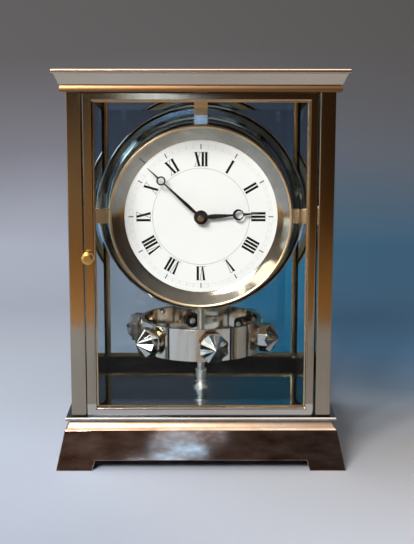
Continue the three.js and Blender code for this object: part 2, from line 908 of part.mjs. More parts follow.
// Windows between a wheel's spokes, as one cutting solid
function wheelWindows(spokes, root, front, back) {
  const windows = [];
  const rim = root - spokes.rim;
  const hubTrim = spokes.width / 2 / spokes.hub;
  const rimTrim = spokes.width / 2 / rim;
  const step = (2 * Math.PI) / spokes.count;
  for (let from = 0; from < 2 * Math.PI - step / 2; from += step) {
    const to = from + step;
    const window = new THREE.Shape();
    window.absarc(0, 0, rim, from + rimTrim, to - rimTrim, false);
    window.absarc(0, 0, spokes.hub, to - hubTrim, from + hubTrim, true);
    windows.push(plateAlongY(window, front - 1, back + 1, 2));
  }
  return join(...windows);
}

// A round plate, cut straight below, with a hole for each arbor
function movementPlate(front, back) {
  const disc = turnedAlongY(rodProfile(plateRadius, front, back), roundSides);
  const below = block([-plateRadius, plateRadius], [front - 1, back + 1], [-plateRadius - 1, -plateCutDrop]);
  const holes = [
    [0, centreArborRadius],
    [barrelRise, barrelArborRadius],
    [-escapeDrop, arborRadius],
    [-leverPivotDrop, arborRadius],
  ].map(([z, radius]) => moved(rodAlongY(radius + runningGap, front - 1, back + 1, pinSides), 0, 0, z));
  return cut(disc, below, ...holes);
}

// Places in the movement, counted from the centre arbor
const barrelRise = ((barrelTeeth + centrePinionLeaves) * barrelModule) / 2;
const escapeDrop = ((centreTeeth + escapePinionLeaves) * escapeModule) / 2;
const leverPivotDrop = escapeDrop + leverDrop;
const forkTipDrop = leverPivotDrop + leverLength;
const motionReach = ((cannonLeaves + minuteTeeth) * motionModule) / 2;
const hourModule = (2 * motionReach) / (minutePinionLeaves + hourTeeth);
const centreWheelFront = plateBack + centreWheelInset;
const barrelFront = centreWheelFront + wheelThickness + playGap;
const barrelWheelFront = barrelFront + (barrelDrumDepth - wheelThickness) / 2;
const leverFront = -impulsePinReach - leverThickness / 2;
const hourWheelFront = carrierFace + playGap;
const minuteWheelFront = hourWheelFront + motionWheelThickness + playGap;
const hourHandBack = dialFace - hourHandRise + handThickness;
const minuteHandBack = dialFace - minuteHandRise + handThickness;
const studTip = carrierFace + seatGap;
const pivotEnds = [carrierBack + seatGap / 2, rearPlateBack - seatGap / 2];

function frontPlate() {
  const stud = rodAlongY(minuteStudRadius, studTip, plateBack - plateThickness / 2, pinSides);
  return join(movementPlate(carrierBack, plateBack), moved(stud, motionReach, 0, 0));
}

// The rear plate carries the four pillars
function rearPlate() {
  const across = platePillarPitch * Math.SQRT1_2;
  const pillar = rodAlongY(platePillarRadius, plateBack, rearPlateBack - plateThickness / 2, pinSides);
  return join(
    movementPlate(rearPlateFace, rearPlateBack),
    moved(pillar, across, 0, across),
    moved(pillar, -across, 0, across),
    moved(pillar, across, 0, -across),
    moved(pillar, -across, 0, -across),
  );
}

function mainspringBarrel() {
  const wheel = plateAlongY(
    wheelOutline(barrelTeeth, barrelModule, -Math.PI / 2),
    barrelWheelFront,
    barrelWheelFront + wheelThickness,
  );
  const front = barrelFront;
  const back = barrelFront + barrelDrumDepth;
  const drum = turnedAlongY([
    [0, front + barrelCoverDrop],
    [barrelDrumRadius - barrelRim - barrelRimStep, front + barrelCoverDrop],
    [barrelDrumRadius - barrelRim, front],
    [barrelDrumRadius, front],
    [barrelDrumRadius, back],
    [0, back],
  ]);
  return join(wheel, drum, rodAlongY(barrelArborRadius, ...pivotEnds, pinSides));
}

// The centre wheel is cut on the arbor that carries the minute hand
function centreWheel() {
  const wheel = plateAlongY(
    wheelOutline(centreTeeth, escapeModule, -Math.PI / 2),
    centreWheelFront,
    centreWheelFront + wheelThickness,
  );
  const pitch = (centreTeeth * escapeModule) / 2;
  const windows = wheelWindows(
    centreWheelSpokes,
    pitch,
    centreWheelFront,
    centreWheelFront + wheelThickness,
  );
  const pinionFront = barrelWheelFront - (pinionLength - wheelThickness) / 2;
  const pinion = plateAlongY(
    pinionOutline(centrePinionLeaves, barrelModule, Math.PI / 2 + Math.PI / centrePinionLeaves),
    pinionFront,
    pinionFront + pinionLength,
  );
  const tip = minuteHandBack - handThickness - seatGap - handNutLength;
  const arbor = rodAlongY(centreArborRadius, tip, pivotEnds[1], pinSides);
  return join(cut(wheel, windows), pinion, arbor);
}

// Fifteen raked teeth, their tips on the escape radius
function escapeWheelOutline() {
  const outline = new THREE.Shape();
  const step = (2 * Math.PI) / escapeTeeth;
  const root = escapeRadius - escapeToothDepth;
  for (let tooth = 0; tooth < escapeTeeth; tooth++) {
    const start = tooth * step;
    for (const [radius, share] of [
      [root, 0],
      [escapeRadius, escapeToothRake],
      [escapeRadius, escapeToothRake + escapeTipShare],
      [root, escapeRootShare],
    ]) {
      const angle = start + share * step;
      const move = tooth === 0 && share === 0 ? "moveTo" : "lineTo";
      outline[move](radius * Math.cos(angle), radius * Math.sin(angle));
    }
  }
  return outline;
}

function escapeWheel() {
  const front = leverFront + (leverThickness - wheelThickness) / 2;
  const wheel = plateAlongY(escapeWheelOutline(), front, front + wheelThickness);
  const root = escapeRadius - escapeToothDepth;
  const windows = wheelWindows(escapeWheelSpokes, root, front, front + wheelThickness);
  const pinionFront = centreWheelFront - (pinionLength - wheelThickness) / 2;
  const pinion = plateAlongY(
    pinionOutline(escapePinionLeaves, escapeModule, Math.PI / 2 + Math.PI / escapePinionLeaves),
    pinionFront,
    pinionFront + pinionLength,
  );
  return join(cut(wheel, windows), pinion, rodAlongY(arborRadius, ...pivotEnds, pinSides));
}

// An arched anchor over its arbor, and a long tail down to the fork
function palletLever() {
  const front = leverFront;
  const back = leverFront + leverThickness;
  const span = THREE.MathUtils.degToRad(palletSpan / 2);
  const arch = new THREE.Shape();
  const down = -Math.PI / 2;
  arch.absarc(0, leverDrop, palletReach, down - span, down + span, false);
  arch.absarc(0, leverDrop, palletReach + archWidth, down + span, down - span, true);
  const tailEnd = -leverLength + forkTineLength;
  const tail = new THREE.Shape();
  tail.moveTo(-leverTailRoot, 0);
  tail.lineTo(-leverTailEnd, tailEnd);
  tail.lineTo(leverTailEnd, tailEnd);
  tail.lineTo(leverTailRoot, 0);
  const halfFork = forkSlot / 2 + forkTineWidth;
  const fork = new THREE.Shape();
  fork.moveTo(-halfFork, -leverLength);
  fork.lineTo(-forkSlot / 2, -leverLength);
  fork.lineTo(-forkSlot / 2, tailEnd);
  fork.lineTo(forkSlot / 2, tailEnd);
  fork.lineTo(forkSlot / 2, -leverLength);
  fork.lineTo(halfFork, -leverLength);
  fork.lineTo(halfFork, tailEnd);
  fork.lineTo(leverTailEnd, tailEnd + forkTineWidth);
  fork.lineTo(-leverTailEnd, tailEnd + forkTineWidth);
  fork.lineTo(-halfFork, tailEnd);
  return join(
    plateAlongY(arch, front, back, 6),
    plateAlongY(tail, front, back),
    plateAlongY(fork, front, back),
    rodAlongY(leverHubRadius, front, back),
    rodAlongY(arborRadius, ...pivotEnds, pinSides),
  );
}

function cannonPinion() {
  const leaves = plateAlongY(
    pinionOutline(cannonLeaves, motionModule, 0),
    minuteWheelFront,
    carrierBack - playGap,
  );
  const pipe = rodAlongY(cannonPipeRadius, minuteHandBack, carrierBack - seatGap);
  return cut(join(leaves, pipe), rodAlongY(centreArborRadius + runningGap, minuteHandBack - 1, carrierBack));
}

function minuteWheel() {
  const bore = minuteStudRadius + runningGap;
  const wheel = plateAlongY(
    wheelOutline(minuteTeeth, motionModule, Math.PI + Math.PI / minuteTeeth, bore),
    minuteWheelFront,
    minuteWheelFront + motionWheelThickness,
  );
  const pinion = plateAlongY(
    pinionOutline(minutePinionLeaves, hourModule, Math.PI, bore),
    hourWheelFront,
    minuteWheelFront,
  );
  return join(wheel, pinion);
}

function hourWheel() {
  const bore = cannonPipeRadius + runningGap;
  const wheel = plateAlongY(
    wheelOutline(hourTeeth, hourModule, Math.PI / hourTeeth, bore),
    hourWheelFront,
    hourWheelFront + motionWheelThickness,
  );
  const pipe = tubeProfile(bore, hourPipeRadius, hourHandBack, hourWheelFront);
  return join(wheel, turnedAlongY(pipe, smallSides));
}

const movement = new THREE.Group();
movement.position.z = dialHeight;
clock.add(movement);

function addMovement() {
  const addHere = (name, solid, material) => addPiece(name, solid, material, movement);
  addHere("movement_carrier", movementCarrier(), darkNickel);
  addHere("front_plate", frontPlate(), gildedBrass);
  addHere("rear_plate", rearPlate(), gildedBrass);
  addHere("mainspring_barrel", mainspringBarrel(), gildedBrass).position.z = barrelRise;
  addHere("centre_wheel", centreWheel(), gildedBrass);
  addHere("escape_wheel", escapeWheel(), gildedBrass).position.z = -escapeDrop;
  addHere("pallet_lever", palletLever(), polishedSteel).position.z = -leverPivotDrop;
  addHere("cannon_pinion", cannonPinion(), polishedSteel);
  addHere("minute_wheel", minuteWheel(), gildedBrass).position.x = motionReach;
  addHere("hour_wheel", hourWheel(), gildedBrass);
  addHere("dial", dial(), dialWhite);
  addHere("bezel", bezel(), gildedBrass);
  addHere(
    "hour_hand",
    handSolid(hourHandShares, hourHubRadius, cannonPipeRadius, hourHandRise, hourHandDegrees),
    bluedSteel,
  );
  addHere(
    "minute_hand",
    handSolid(minuteHandShares, minuteHubRadius, centreArborRadius, minuteHandRise, minuteHandDegrees),
    bluedSteel,
  );
  addHere("hand_nut", handNut(), gildedBrass);
}

addMovement();
for (const [side, sideName] of [
  [-1, "left"],
  [1, "right"],
]) {
  addPiece(`carrier_pillar_${sideName}`, casePillar(side, carrierBack - pillarDepth), darkNickel);
}

// The rocking drum: two pressed shells meeting at a thin flange, on an arbor behind
const drumFace = impulsePinReach + rollerNose + playGap;
const drumSeam = drumFace + drumFrontDepth;
const drumBack = drumFace + drumDepth;
const bridgeFront = drumBack + bridgeGap;
const bridgeBack = bridgeFront + bridgeThickness;

function drumFrontShell() {
  const inner = drumRadius - drumWall;
  const rise = drumShoulder / 3;
  return turnedAlongY(
    [
      [0, drumFace],
      [drumRadius - drumShoulder, drumFace],
      [drumRadius - rise, drumFace + rise],
      [drumRadius, drumSeam - drumFlangeThickness],
      ...lipOutline.map(([inwards, forwards]) => [
        drumFlangeRadius - drumLip * inwards,
        drumSeam - drumFlangeThickness - drumLip * forwards,
      ]),
      [drumFlangeRadius, drumSeam],
      [inner, drumSeam],
      [inner - drumShoulder, drumFace + drumWall],
      [0, drumFace + drumWall],
    ],
    drumSides,
  );
}

function drumBackShell() {
  const inner = drumRadius - drumWall;
  const bore = drumArborRadius + seatGap;
  return turnedAlongY(
    closed([
      [inner, drumSeam],
      [drumFlangeRadius, drumSeam],
      [drumFlangeRadius, drumSeam + drumFlangeThickness],
      [drumRadius, drumSeam + drumFlangeThickness],
      [drumRadius, drumBack - drumShoulder],
      [drumRadius - drumShoulder, drumBack],
      [bore, drumBack],
      [bore, drumBack - drumWall],
      [inner - drumShoulder, drumBack - drumWall],
      [inner, drumBack - drumShoulder],
    ]),
    drumSides,
  );
}

function drumArbor() {
  const front = drumFace + drumWall + seatGap;
  return turnedAlongY(
    [
      [0, front],
      [drumArborFootRadius, front],
      [drumArborFootRadius, front + drumArborFootDepth],
      [drumArborRadius, front + drumArborFootDepth],
      [drumArborRadius, bridgeBack + drumArborTail],
      [0, bridgeBack + drumArborTail],
    ],
    smallSides,
  );
}

// The expansion tube is bent round inside the drum's rim, open at the top
function expansionTube() {
  const bend = drumRadius - drumWall - seatGap - expansionTubeRadius - playGap;
  const middle = (drumSeam + drumBack) / 2;
  const sweep = THREE.MathUtils.degToRad(expansionTubeSweep);
  class Bend extends THREE.Curve {
    getPoint(t, target = new THREE.Vector3()) {
      const angle = Math.PI / 2 + (2 * Math.PI - sweep) / 2 + sweep * t;
      return target.set(bend * Math.cos(angle), middle, bend * Math.sin(angle));
    }
  }
  const section = new THREE.Shape();
  section.absarc(0, 0, expansionTubeRadius, 0, 2 * Math.PI);
  return solidFrom(
    new THREE.ExtrudeGeometry(section, {
      extrudePath: new Bend(),
      steps: expansionTubeSteps,
      bevelEnabled: false,
      curveSegments: expansionTubeFacets,
    }),
  );
}

function rearBridge() {
  const reach = pillarInner - seatGap;
  const bar = block([-reach, reach], [bridgeFront, bridgeBack], [-bridgeHeight / 2, bridgeHeight / 2]);
  const boss = rodAlongY(bridgeBossRadius, bridgeFront, bridgeBack, roundSides);
  return cut(
    join(bar, boss),
    rodAlongY(drumArborRadius + runningGap, bridgeFront - 1, bridgeBack + 1, smallSides),
  );
}

// The suspension: a wire in a guard tube that stands in a bracket on the rear plate
const suspensionTop = dialHeight + suspensionRise;
const rollerHeight = dialHeight - forkTipDrop - rollerDrop;
const pendulumTop = rollerHeight + arborAboveRoller;
const suspensionTubeFoot = pendulumTop + playGap * 2;
const clampBottom = suspensionTop + suspensionCollarHeight;
const wireHole = wireRadius + seatGap;
const wireTop = clampBottom + clampHeight - clampChamfer;

function suspensionBracket() {
  const body = block(
    [-bracketWidth / 2, bracketWidth / 2],
    [rearPlateBack, suspensionTubeRadius + bracketWall],
    [suspensionTop - bracketHeight, suspensionTop],
  );
  const bore = suspensionTubeRadius + seatGap;
  return cut(body, rodAlongZ(bore, suspensionTop - bracketHeight - 1, suspensionTop + 1));
}

function suspensionTube() {
  return turnedAlongZ(
    closed([
      [suspensionTubeBore, suspensionTubeFoot],
      [suspensionTubeRadius, suspensionTubeFoot],
      [suspensionTubeRadius, suspensionTop],
      [suspensionCollarRadius, suspensionTop],
      [suspensionCollarRadius, clampBottom],
      [suspensionTubeBore, clampBottom],
    ]),
    smallSides,
  );
}

function wireClamp() {
  const cap = turnedAlongZ(
    [
      [0, clampBottom],
      [clampRadius, clampBottom],
      [clampRadius, wireTop],
      [clampRadius - clampChamfer, clampBottom + clampHeight],
      [0, clampBottom + clampHeight],
    ],
    smallSides,
  );
  return cut(cap, rodAlongZ(wireHole, clampBottom - 1, wireTop, wireSides));
}

function suspensionWire() {
  return rodAlongZ(wireRadius, pendulumTop - wireSocket + seatGap, wireTop - seatGap, wireSides);
}

// The pendulum: a seamed ring band on three spokes, with six faceted weights screwed round it
const ringBore = ringRadius - ringWall;
const weightHeight = ringBottom + ringHeight / 2;
const hubBore = pendulumArborRadius + seatGap;
const lockCupFloor = lockCupBottom + lockCupWall;
const pendulumTip = lockCupFloor + lockTravel + runningGap;

function pendulumRing() {
  const band = turnedAlongZ(tubeProfile(ringBore, ringRadius, ringBottom, ringTop), fineSides);
  const tools = [];
  for (let k = 0; k < weightCount; k++) {
    const turn = THREE.MathUtils.degToRad(weightPhase + (360 / weightCount) * k);
    const hole = rodAlongY(weightScrewRadius + seatGap, -ringRadius - 1, -ringBore + 1, pinSides);
    tools.push(solidFrom(geometryFrom(hole).translate(0, 0, weightHeight).rotateZ(turn)));
    const seam = block(
      [-seamWidth / 2, seamWidth / 2],
      [-ringRadius - 1, -ringRadius + seamDepth],
      [ringBottom - 1, ringTop + 1],
    );
    tools.push(solidFrom(geometryFrom(seam).rotateZ(turn + THREE.MathUtils.degToRad(seamOffset))));
  }
  return cut(band, ...tools);
}

// An eight-sided block whose point has a ridge to each corner and a hollow to each side
function weightBlock(face, back) {
  const flatRadius = weightAcross / 2;
  const cornerRadius = flatRadius / Math.cos(Math.PI / weightSides);
  const steps = weightSides * 2;
  const positions = [0, face - weightTip, 0, 0, back, 0];
  const corners = [];
  for (let k = 0; k < steps; k++) {
    const turn = ((k + 1) * Math.PI) / weightSides;
    const radius = k % 2 ? flatRadius : cornerRadius;
    const front = k % 2 ? face + weightFlute : face;
    const x = radius * Math.sin(turn);
    const z = radius * Math.cos(turn);
    positions.push(x, front, z, x, back, z);
    const next = (k + 1) % steps;
    const [a, b] = [2 + 2 * k, 2 + 2 * next];
    corners.push(0, b, a, a, b, b + 1, a, b + 1, a + 1, 1, a + 1, b + 1);
  }
  const geometry = new THREE.BufferGeometry();
  geometry.setAttribute("position", new THREE.BufferAttribute(new Float32Array(positions), 3));
  geometry.setIndex(corners);
  return solidFrom(geometry);
}

// A weight stands on a neck, its screw goes through the band and its nut sits inside
function pendulumWeight() {
  const face = -ringRadius - weightLength;
  const body = weightBlock(face, -ringRadius - weightNeckLength);
  const neck = rodAlongY(weightNeckRadius, face + weightFlute, -ringRadius + ringWall);
  const seat = rodAlongZ(ringRadius + seatGap, -weightAcross, weightAcross, fineSides);
  const inside = -ringBore + weightNutGap;
  const screw = rodAlongY(weightScrewRadius, face + weightFlute, inside + weightNutLength / 2, pinSides);
  const nut = rodAlongY(weightNutRadius, inside, inside + weightNutLength, pinSides);
  return join(cut(join(body, neck), seat), screw, nut);
}

function pendulumSpokes() {
  const low = ringBottom;
  const high = ringBottom + spokeThickness;
  const hub = rodAlongZ(hubRadius, low, high + spokeThickness / 2);
  const reach = ringBore - seatGap;
  const spokes = [];
  for (let k = 0; k < spokeCount; k++) {
    const spoke = block([-spokeWidth / 2, spokeWidth / 2], [-reach - 1, 0], [low, high]);
    const turn = THREE.MathUtils.degToRad(spokePhase + (360 / spokeCount) * k);
    spokes.push(solidFrom(geometryFrom(spoke).rotateZ(turn)));
  }
  const round = rodAlongZ(reach, low - 1, high + spokeThickness, fineSides);
  return cut(join(hub, ...spokes).intersect(round), rodAlongZ(hubBore, low - 1, high + spokeThickness));
}

function pendulumArbor() {
  const shoulder = ringBottom - arborCollar;
  const shaft = turnedAlongZ(
    [
      [0, pendulumTip],
      [pendulumArborRadius - arborTipChamfer, pendulumTip],
      [pendulumArborRadius, pendulumTip + arborTipChamfer],
      [pendulumArborRadius, shoulder],
      [pendulumArborRadius + arborCollar, shoulder],
      [pendulumArborRadius + arborCollar, ringBottom],
      [pendulumArborRadius, ringBottom],
      [pendulumArborRadius, pendulumTop],
      [0, pendulumTop],
    ],
    smallSides,
  );
  return cut(shaft, rodAlongZ(wireHole, pendulumTop - wireSocket, pendulumTop + 1, wireSides));
}

// The roller's pin stands just under the lever's fork
function impulseRoller() {
  const low = rollerHeight - rollerThickness;
  const disc = rodAlongZ(rollerRadius, low, rollerHeight);
  const arm = block(
    [-rollerArmWidth / 2, rollerArmWidth / 2],
    [-impulsePinReach - rollerNose, 0],
    [low, rollerHeight],
  );
  const pin = rodAlongZ(impulsePinRadius, low, dialHeight - forkTipDrop - runningGap, pinSides);
  return cut(
    join(disc, arm, moved(pin, 0, -impulsePinReach, 0)),
    rodAlongZ(hubBore, low - 1, rollerHeight + 1),
  );
}

// The lock: a cup on a stem slides in a floor guide when the lever's ramp passes under it
function lockGuide() {
  const bore = lockStemRadius + runningGap;
  const top = lockCupBottom - seatGap;
  const neck = floorTop + lockGuideRim + lockGuideRadius - lockGuideNeckRadius;
  const bead = (neck + top) / 2;
  return turnedAlongZ(
    closed([
      [bore, floorTop],
      [lockGuideRadius, floorTop],
      [lockGuideRadius, floorTop + lockGuideRim],
      [lockGuideNeckRadius, neck],
      [lockGuideTopRadius, bead - lockGuideBeadHeight / 2],
      [lockGuideBeadRadius, bead],
      [lockGuideTopRadius, bead + lockGuideBeadHeight / 2],
      [lockGuideTopRadius, top],
      [bore, top],
    ]),
    smallSides,
  );
}

function lockCup() {
  const top = lockCupBottom + lockCupHeight;
  return turnedAlongZ(
    [
      [0, lockStemEnd],
      [lockStemRadius, lockStemEnd],
      [lockStemRadius, lockCupBottom],
      [lockCupRadius, lockCupBottom],
      [lockCupRadius, top - lockCupBeadHeight],
      [lockCupRadius + lockCupBead, top - lockCupBeadHeight / 2],
      [lockCupRadius, top],
      [lockCupRadius - lockCupWall, top],
      [lockCupRadius - lockCupWall, lockCupFloor],
      [0, lockCupFloor],
    ],
    smallSides,
  );
}

function lockLever() {
  const low = lockLeverHeight;
  const high = lockLeverHeight + lockLeverThickness;
  const half = lockLeverWidth / 2;
  const halfRamp = lockRampWidth / 2;
  const outline = new THREE.Shape();
  outline.absarc(lockLeverPivotX, 0, half, 0, Math.PI / 2);
  outline.lineTo(0, rampFoot + rampRun + lockStemRadius);
  outline.lineTo(-halfRamp, rampFoot + rampRun + lockStemRadius);
  outline.lineTo(-halfRamp, -half);
  outline.lineTo(lockLeverPivotX - half, -lockLeverWidth);
  outline.lineTo(lockLeverPivotX - half, -lockLeverReach);
  outline.lineTo(lockLeverPivotX + half, -lockLeverReach);
  const bar = plateAlongZ(outline, low, high, 6);
  const ramp = new THREE.Shape();
  ramp.moveTo(rampFoot, high - lockLeverThickness / 2);
  ramp.lineTo(rampFoot, high);
  ramp.lineTo(rampFoot + rampRun, high + lockTravel);
  ramp.lineTo(rampFoot + rampRun + lockStemRadius, high + lockTravel);
  ramp.lineTo(rampFoot + rampRun + lockStemRadius, high - lockLeverThickness / 2);
  const wedge = geometryFrom(plateAlongY(ramp, -halfRamp, halfRamp)).rotateZ(Math.PI / 2);
  const tab = block(
    [lockLeverPivotX - half, lockLeverPivotX + half],
    [-lockLeverReach, -lockLeverReach + lockLeverThickness],
    [low - lockLeverTab, high],
  );
  const hole = rodAlongZ(lockStudRadius + runningGap, low - 1, high + 1);
  return cut(join(bar, solidFrom(wedge), tab), moved(hole, lockLeverPivotX, 0, 0));
}

function addDrum() {
  const addHere = (name, solid, material) => addPiece(name, solid, material, movement);
  addHere("drum_front_shell", drumFrontShell(), darkNickel);
  addHere("drum_back_shell", drumBackShell(), darkNickel);
  addHere("drum_arbor", drumArbor(), polishedSteel);
  addHere("expansion_tube", expansionTube(), glass);
  addHere("rear_bridge", rearBridge(), darkNickel);
}

function addPendulum() {
  addPiece("suspension_bracket", suspensionBracket(), gildedBrass);
  addPiece("suspension_tube", suspensionTube(), gildedBrass);
  addPiece("suspension_clamp", wireClamp(), polishedSteel);
  addPiece("suspension_wire", suspensionWire(), polishedSteel);
  addPiece("pendulum_arbor", pendulumArbor(), polishedSteel);
  addPiece("impulse_roller", impulseRoller(), polishedSteel);
  addPiece("pendulum_ring", pendulumRing(), polishedSteel);
  addPiece("pendulum_spokes", pendulumSpokes(), polishedSteel);
  const weight = pendulumWeight();
  for (let k = 0; k < weightCount; k++) {
    const mesh = addPiece(`pendulum_weight_${k + 1}`, weight, polishedSteel);
    mesh.position.z = weightHeight;
    mesh.rotation.z = THREE.MathUtils.degToRad(weightPhase + (360 / weightCount) * k);
  }
}

function addLock() {
  addPiece("lock_guide", lockGuide(), polishedSteel);
  addPiece("lock_cup", lockCup(), polishedSteel);
  addPiece("lock_lever", lockLever(), nickelBrass);
}

addDrum();
addPendulum();
addLock();
for (const [side, sideName] of [
  [-1, "left"],
  [1, "right"],
]) {
  addPiece(`bridge_pillar_${sideName}`, casePillar(side, bridgeBack - pillarDepth), darkNickel);
}

export default clock;
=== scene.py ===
import json
import math

import bmesh
import bpy
from mathutils import Matrix, Vector

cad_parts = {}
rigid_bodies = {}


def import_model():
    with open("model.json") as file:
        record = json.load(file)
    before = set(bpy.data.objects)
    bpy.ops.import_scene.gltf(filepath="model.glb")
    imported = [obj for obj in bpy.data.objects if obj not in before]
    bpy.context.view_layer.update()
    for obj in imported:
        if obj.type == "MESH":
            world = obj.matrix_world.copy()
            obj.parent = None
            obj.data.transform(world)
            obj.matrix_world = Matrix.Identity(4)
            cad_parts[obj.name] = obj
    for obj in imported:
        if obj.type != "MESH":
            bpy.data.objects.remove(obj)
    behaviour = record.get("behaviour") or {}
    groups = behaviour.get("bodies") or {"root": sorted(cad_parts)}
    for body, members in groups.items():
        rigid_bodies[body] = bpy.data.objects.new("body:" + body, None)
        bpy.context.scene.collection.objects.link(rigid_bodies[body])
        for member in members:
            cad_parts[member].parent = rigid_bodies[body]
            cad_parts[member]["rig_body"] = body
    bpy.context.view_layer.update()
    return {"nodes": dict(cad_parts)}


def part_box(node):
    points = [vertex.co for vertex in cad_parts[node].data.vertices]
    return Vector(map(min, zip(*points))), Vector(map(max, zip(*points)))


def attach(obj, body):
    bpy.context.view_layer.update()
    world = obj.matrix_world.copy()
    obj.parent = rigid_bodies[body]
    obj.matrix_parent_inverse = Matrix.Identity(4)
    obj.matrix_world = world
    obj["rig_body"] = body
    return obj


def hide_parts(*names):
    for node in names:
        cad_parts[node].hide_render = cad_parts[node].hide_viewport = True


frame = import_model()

nodes = frame["nodes"]
mm = 0.001
# the height of the dial's axis in millimetres, which bezel, carrier and drum share
axisHeight = 145.7

# what Blender starts with goes
for thing in list(bpy.data.objects):
    if thing.type in ("LIGHT", "CAMERA") or thing.name == "Cube":
        bpy.data.objects.remove(thing)


# Shader helpers
def addNode(tree, kind, inputs=None, **settings):
    node = tree.nodes.new(kind)
    for key, value in settings.items():
        setattr(node, key, value)
    for label, start in (inputs or {}).items():
        node.inputs[label].default_value = start
    return node


def fillSocket(tree, socket, value):
    # a plain value is set on the socket, and an output is linked to it
    if isinstance(value, (int, float, tuple)):
        socket.default_value = value
    else:
        tree.links.new(value, socket)


def mathNode(tree, operation, a, b=None, clamp=False):
    node = addNode(tree, "ShaderNodeMath", operation=operation, use_clamp=clamp)
    fillSocket(tree, node.inputs[0], a)
    if b is not None:
        fillSocket(tree, node.inputs[1], b)
    return node.outputs[0]


def mixColours(tree, factor, a, b):
    node = addNode(tree, "ShaderNodeMix", data_type="RGBA", clamp_factor=True)
    # of the node's many inputs, 0 is the factor and 6 and 7 are the two colours
    for place, value in ((0, factor), (6, a), (7, b)):
        fillSocket(tree, node.inputs[place], value)
    return node.outputs[2]


def rampNode(tree, factor, stops):
    node = addNode(tree, "ShaderNodeValToRGB")
    ramp = node.color_ramp
    while len(ramp.elements) < len(stops):
        ramp.elements.new(0.5)
    for element, (place, colour) in zip(ramp.elements, stops):
        element.position = place
        element.color = (*colour, 1)
    tree.links.new(factor, node.inputs[0])
    return node.outputs[0]


def maskBetween(tree, factor, low, high):
    return rampNode(tree, factor, [(low, (0, 0, 0)), (high, (1, 1, 1))])


def noiseNode(tree, vector, scale, detail=3, roughness=0.5):
    node = addNode(tree, "ShaderNodeTexNoise", inputs={"Detail": detail, "Roughness": roughness})
    fillSocket(tree, node.inputs["Scale"], scale)
    tree.links.new(vector, node.inputs["Vector"])
    return node.outputs[0]


def objectPlace(tree):
    return addNode(tree, "ShaderNodeTexCoord").outputs["Object"]


def splitPlace(tree, place):
    split = addNode(tree, "ShaderNodeSeparateXYZ")
    tree.links.new(place, split.inputs[0])
    return split.outputs


def startMaterial(name):
    material = bpy.data.materials.new(name)
    material.use_nodes = True
    tree = material.node_tree
    return material, tree, tree.nodes["Principled BSDF"]


def showThrough(tree, shader, share, tint=None):
    # where share is 1, the surface lets light straight through
    clear = addNode(tree, "ShaderNodeBsdfTransparent")
    if tint:
        clear.inputs[0].default_value = tint
    choose = addNode(tree, "ShaderNodeMixShader")
    for socket, output in zip(choose.inputs, (share, shader.outputs[0], clear.outputs[0])):
        tree.links.new(output, socket)
    tree.links.new(choose.outputs[0], tree.nodes["Material Output"].inputs["Surface"])


# Old plate: cloudy tarnish, small spots and a fine grain, from the place on the piece in metres
ageLook = dict(cloudDetail=5, cloudRoughness=0.6, cloudEdge=(0.36, 0.7), spotScale=900, spotEdge=(0.68, 0.78),
               spotShare=0.6, grainScale=2600, fineDetail=2, rougher=0.06, grainRoughness=0.03)


def tarnishGroup(look):
    group = bpy.data.node_groups.new("tarnish", "ShaderNodeTree")
    sockets = {
        "INPUT": {"Clean": "Color", "Tarnished": "Color", "Amount": "Float", "Cloud Size": "Float",
                  "Roughness": "Float", "Streak": "Vector"},
        "OUTPUT": {"Color": "Color", "Roughness": "Float", "Height": "Float"},
    }
    for side, labels in sockets.items():
        for label, kind in labels.items():
            group.interface.new_socket(label, in_out=side, socket_type="NodeSocket" + kind)
    enter = group.nodes.new("NodeGroupInput").outputs
    leave = group.nodes.new("NodeGroupOutput").inputs
    place = objectPlace(group)
    stretched = addNode(group, "ShaderNodeVectorMath", operation="MULTIPLY")
    group.links.new(place, stretched.inputs[0])
    group.links.new(enter["Streak"], stretched.inputs[1])
    clouds = noiseNode(group, stretched.outputs[0], enter["Cloud Size"], look["cloudDetail"], look["cloudRoughness"])
    spots = noiseNode(group, place, look["spotScale"], look["fineDetail"])
    grain = noiseNode(group, stretched.outputs[0], look["grainScale"], look["fineDetail"])
    cloudMask = mathNode(group, "MULTIPLY", maskBetween(group, clouds, *look["cloudEdge"]), enter["Amount"])
    spotMask = mathNode(group, "MULTIPLY", maskBetween(group, spots, *look["spotEdge"]), enter["Amount"])
    mask = mathNode(group, "ADD", cloudMask, mathNode(group, "MULTIPLY", spotMask, look["spotShare"]), clamp=True)
    group.links.new(mixColours(group, mask, enter["Clean"], enter["Tarnished"]), leave["Color"])
    worn = mathNode(group, "ADD", enter["Roughness"], mathNode(group, "MULTIPLY", mask, look["rougher"]))
    rough = mathNode(group, "ADD", worn, mathNode(group, "MULTIPLY", grain, look["grainRoughness"]), clamp=True)
    group.links.new(rough, leave["Roughness"])
    group.links.new(grain, leave["Height"])
    return group


tarnish = tarnishGroup(ageLook)


def linkZones(tree, aged, look):
    # a zone is plated differently where its measure is in its range, a height or a radius from the dial's axis
    place = splitPlace(tree, objectPlace(tree))
    colours = {socket: (*look[socket], 1) for socket in ("clean", "tarnished")}
    rough = look["roughness"]
    for zone in look["zones"]:
        measure = place["Z"]
        if zone.get("radial"):
            up = mathNode(tree, "SUBTRACT", measure, axisHeight * mm)
            squares = [mathNode(tree, "MULTIPLY", side, side) for side in (place["X"], up)]
            measure = mathNode(tree, "SQRT", mathNode(tree, "ADD", *squares))
        low, high = zone["range"]
        above, below = mathNode(tree, "GREATER_THAN", measure, low), mathNode(tree, "LESS_THAN", measure, high)
        inside = mathNode(tree, "MULTIPLY", above, below)
        for socket in colours:
            colours[socket] = mixColours(tree, inside, colours[socket], (*zone[socket], 1))
        rough = mathNode(tree, "ADD", mathNode(tree, "MULTIPLY", inside, zone["roughness"] - look["roughness"]), rough)
    for socket, colour in colours.items():
        tree.links.new(colour, aged.inputs[socket.capitalize()])
    tree.links.new(rough, aged.inputs["Roughness"])


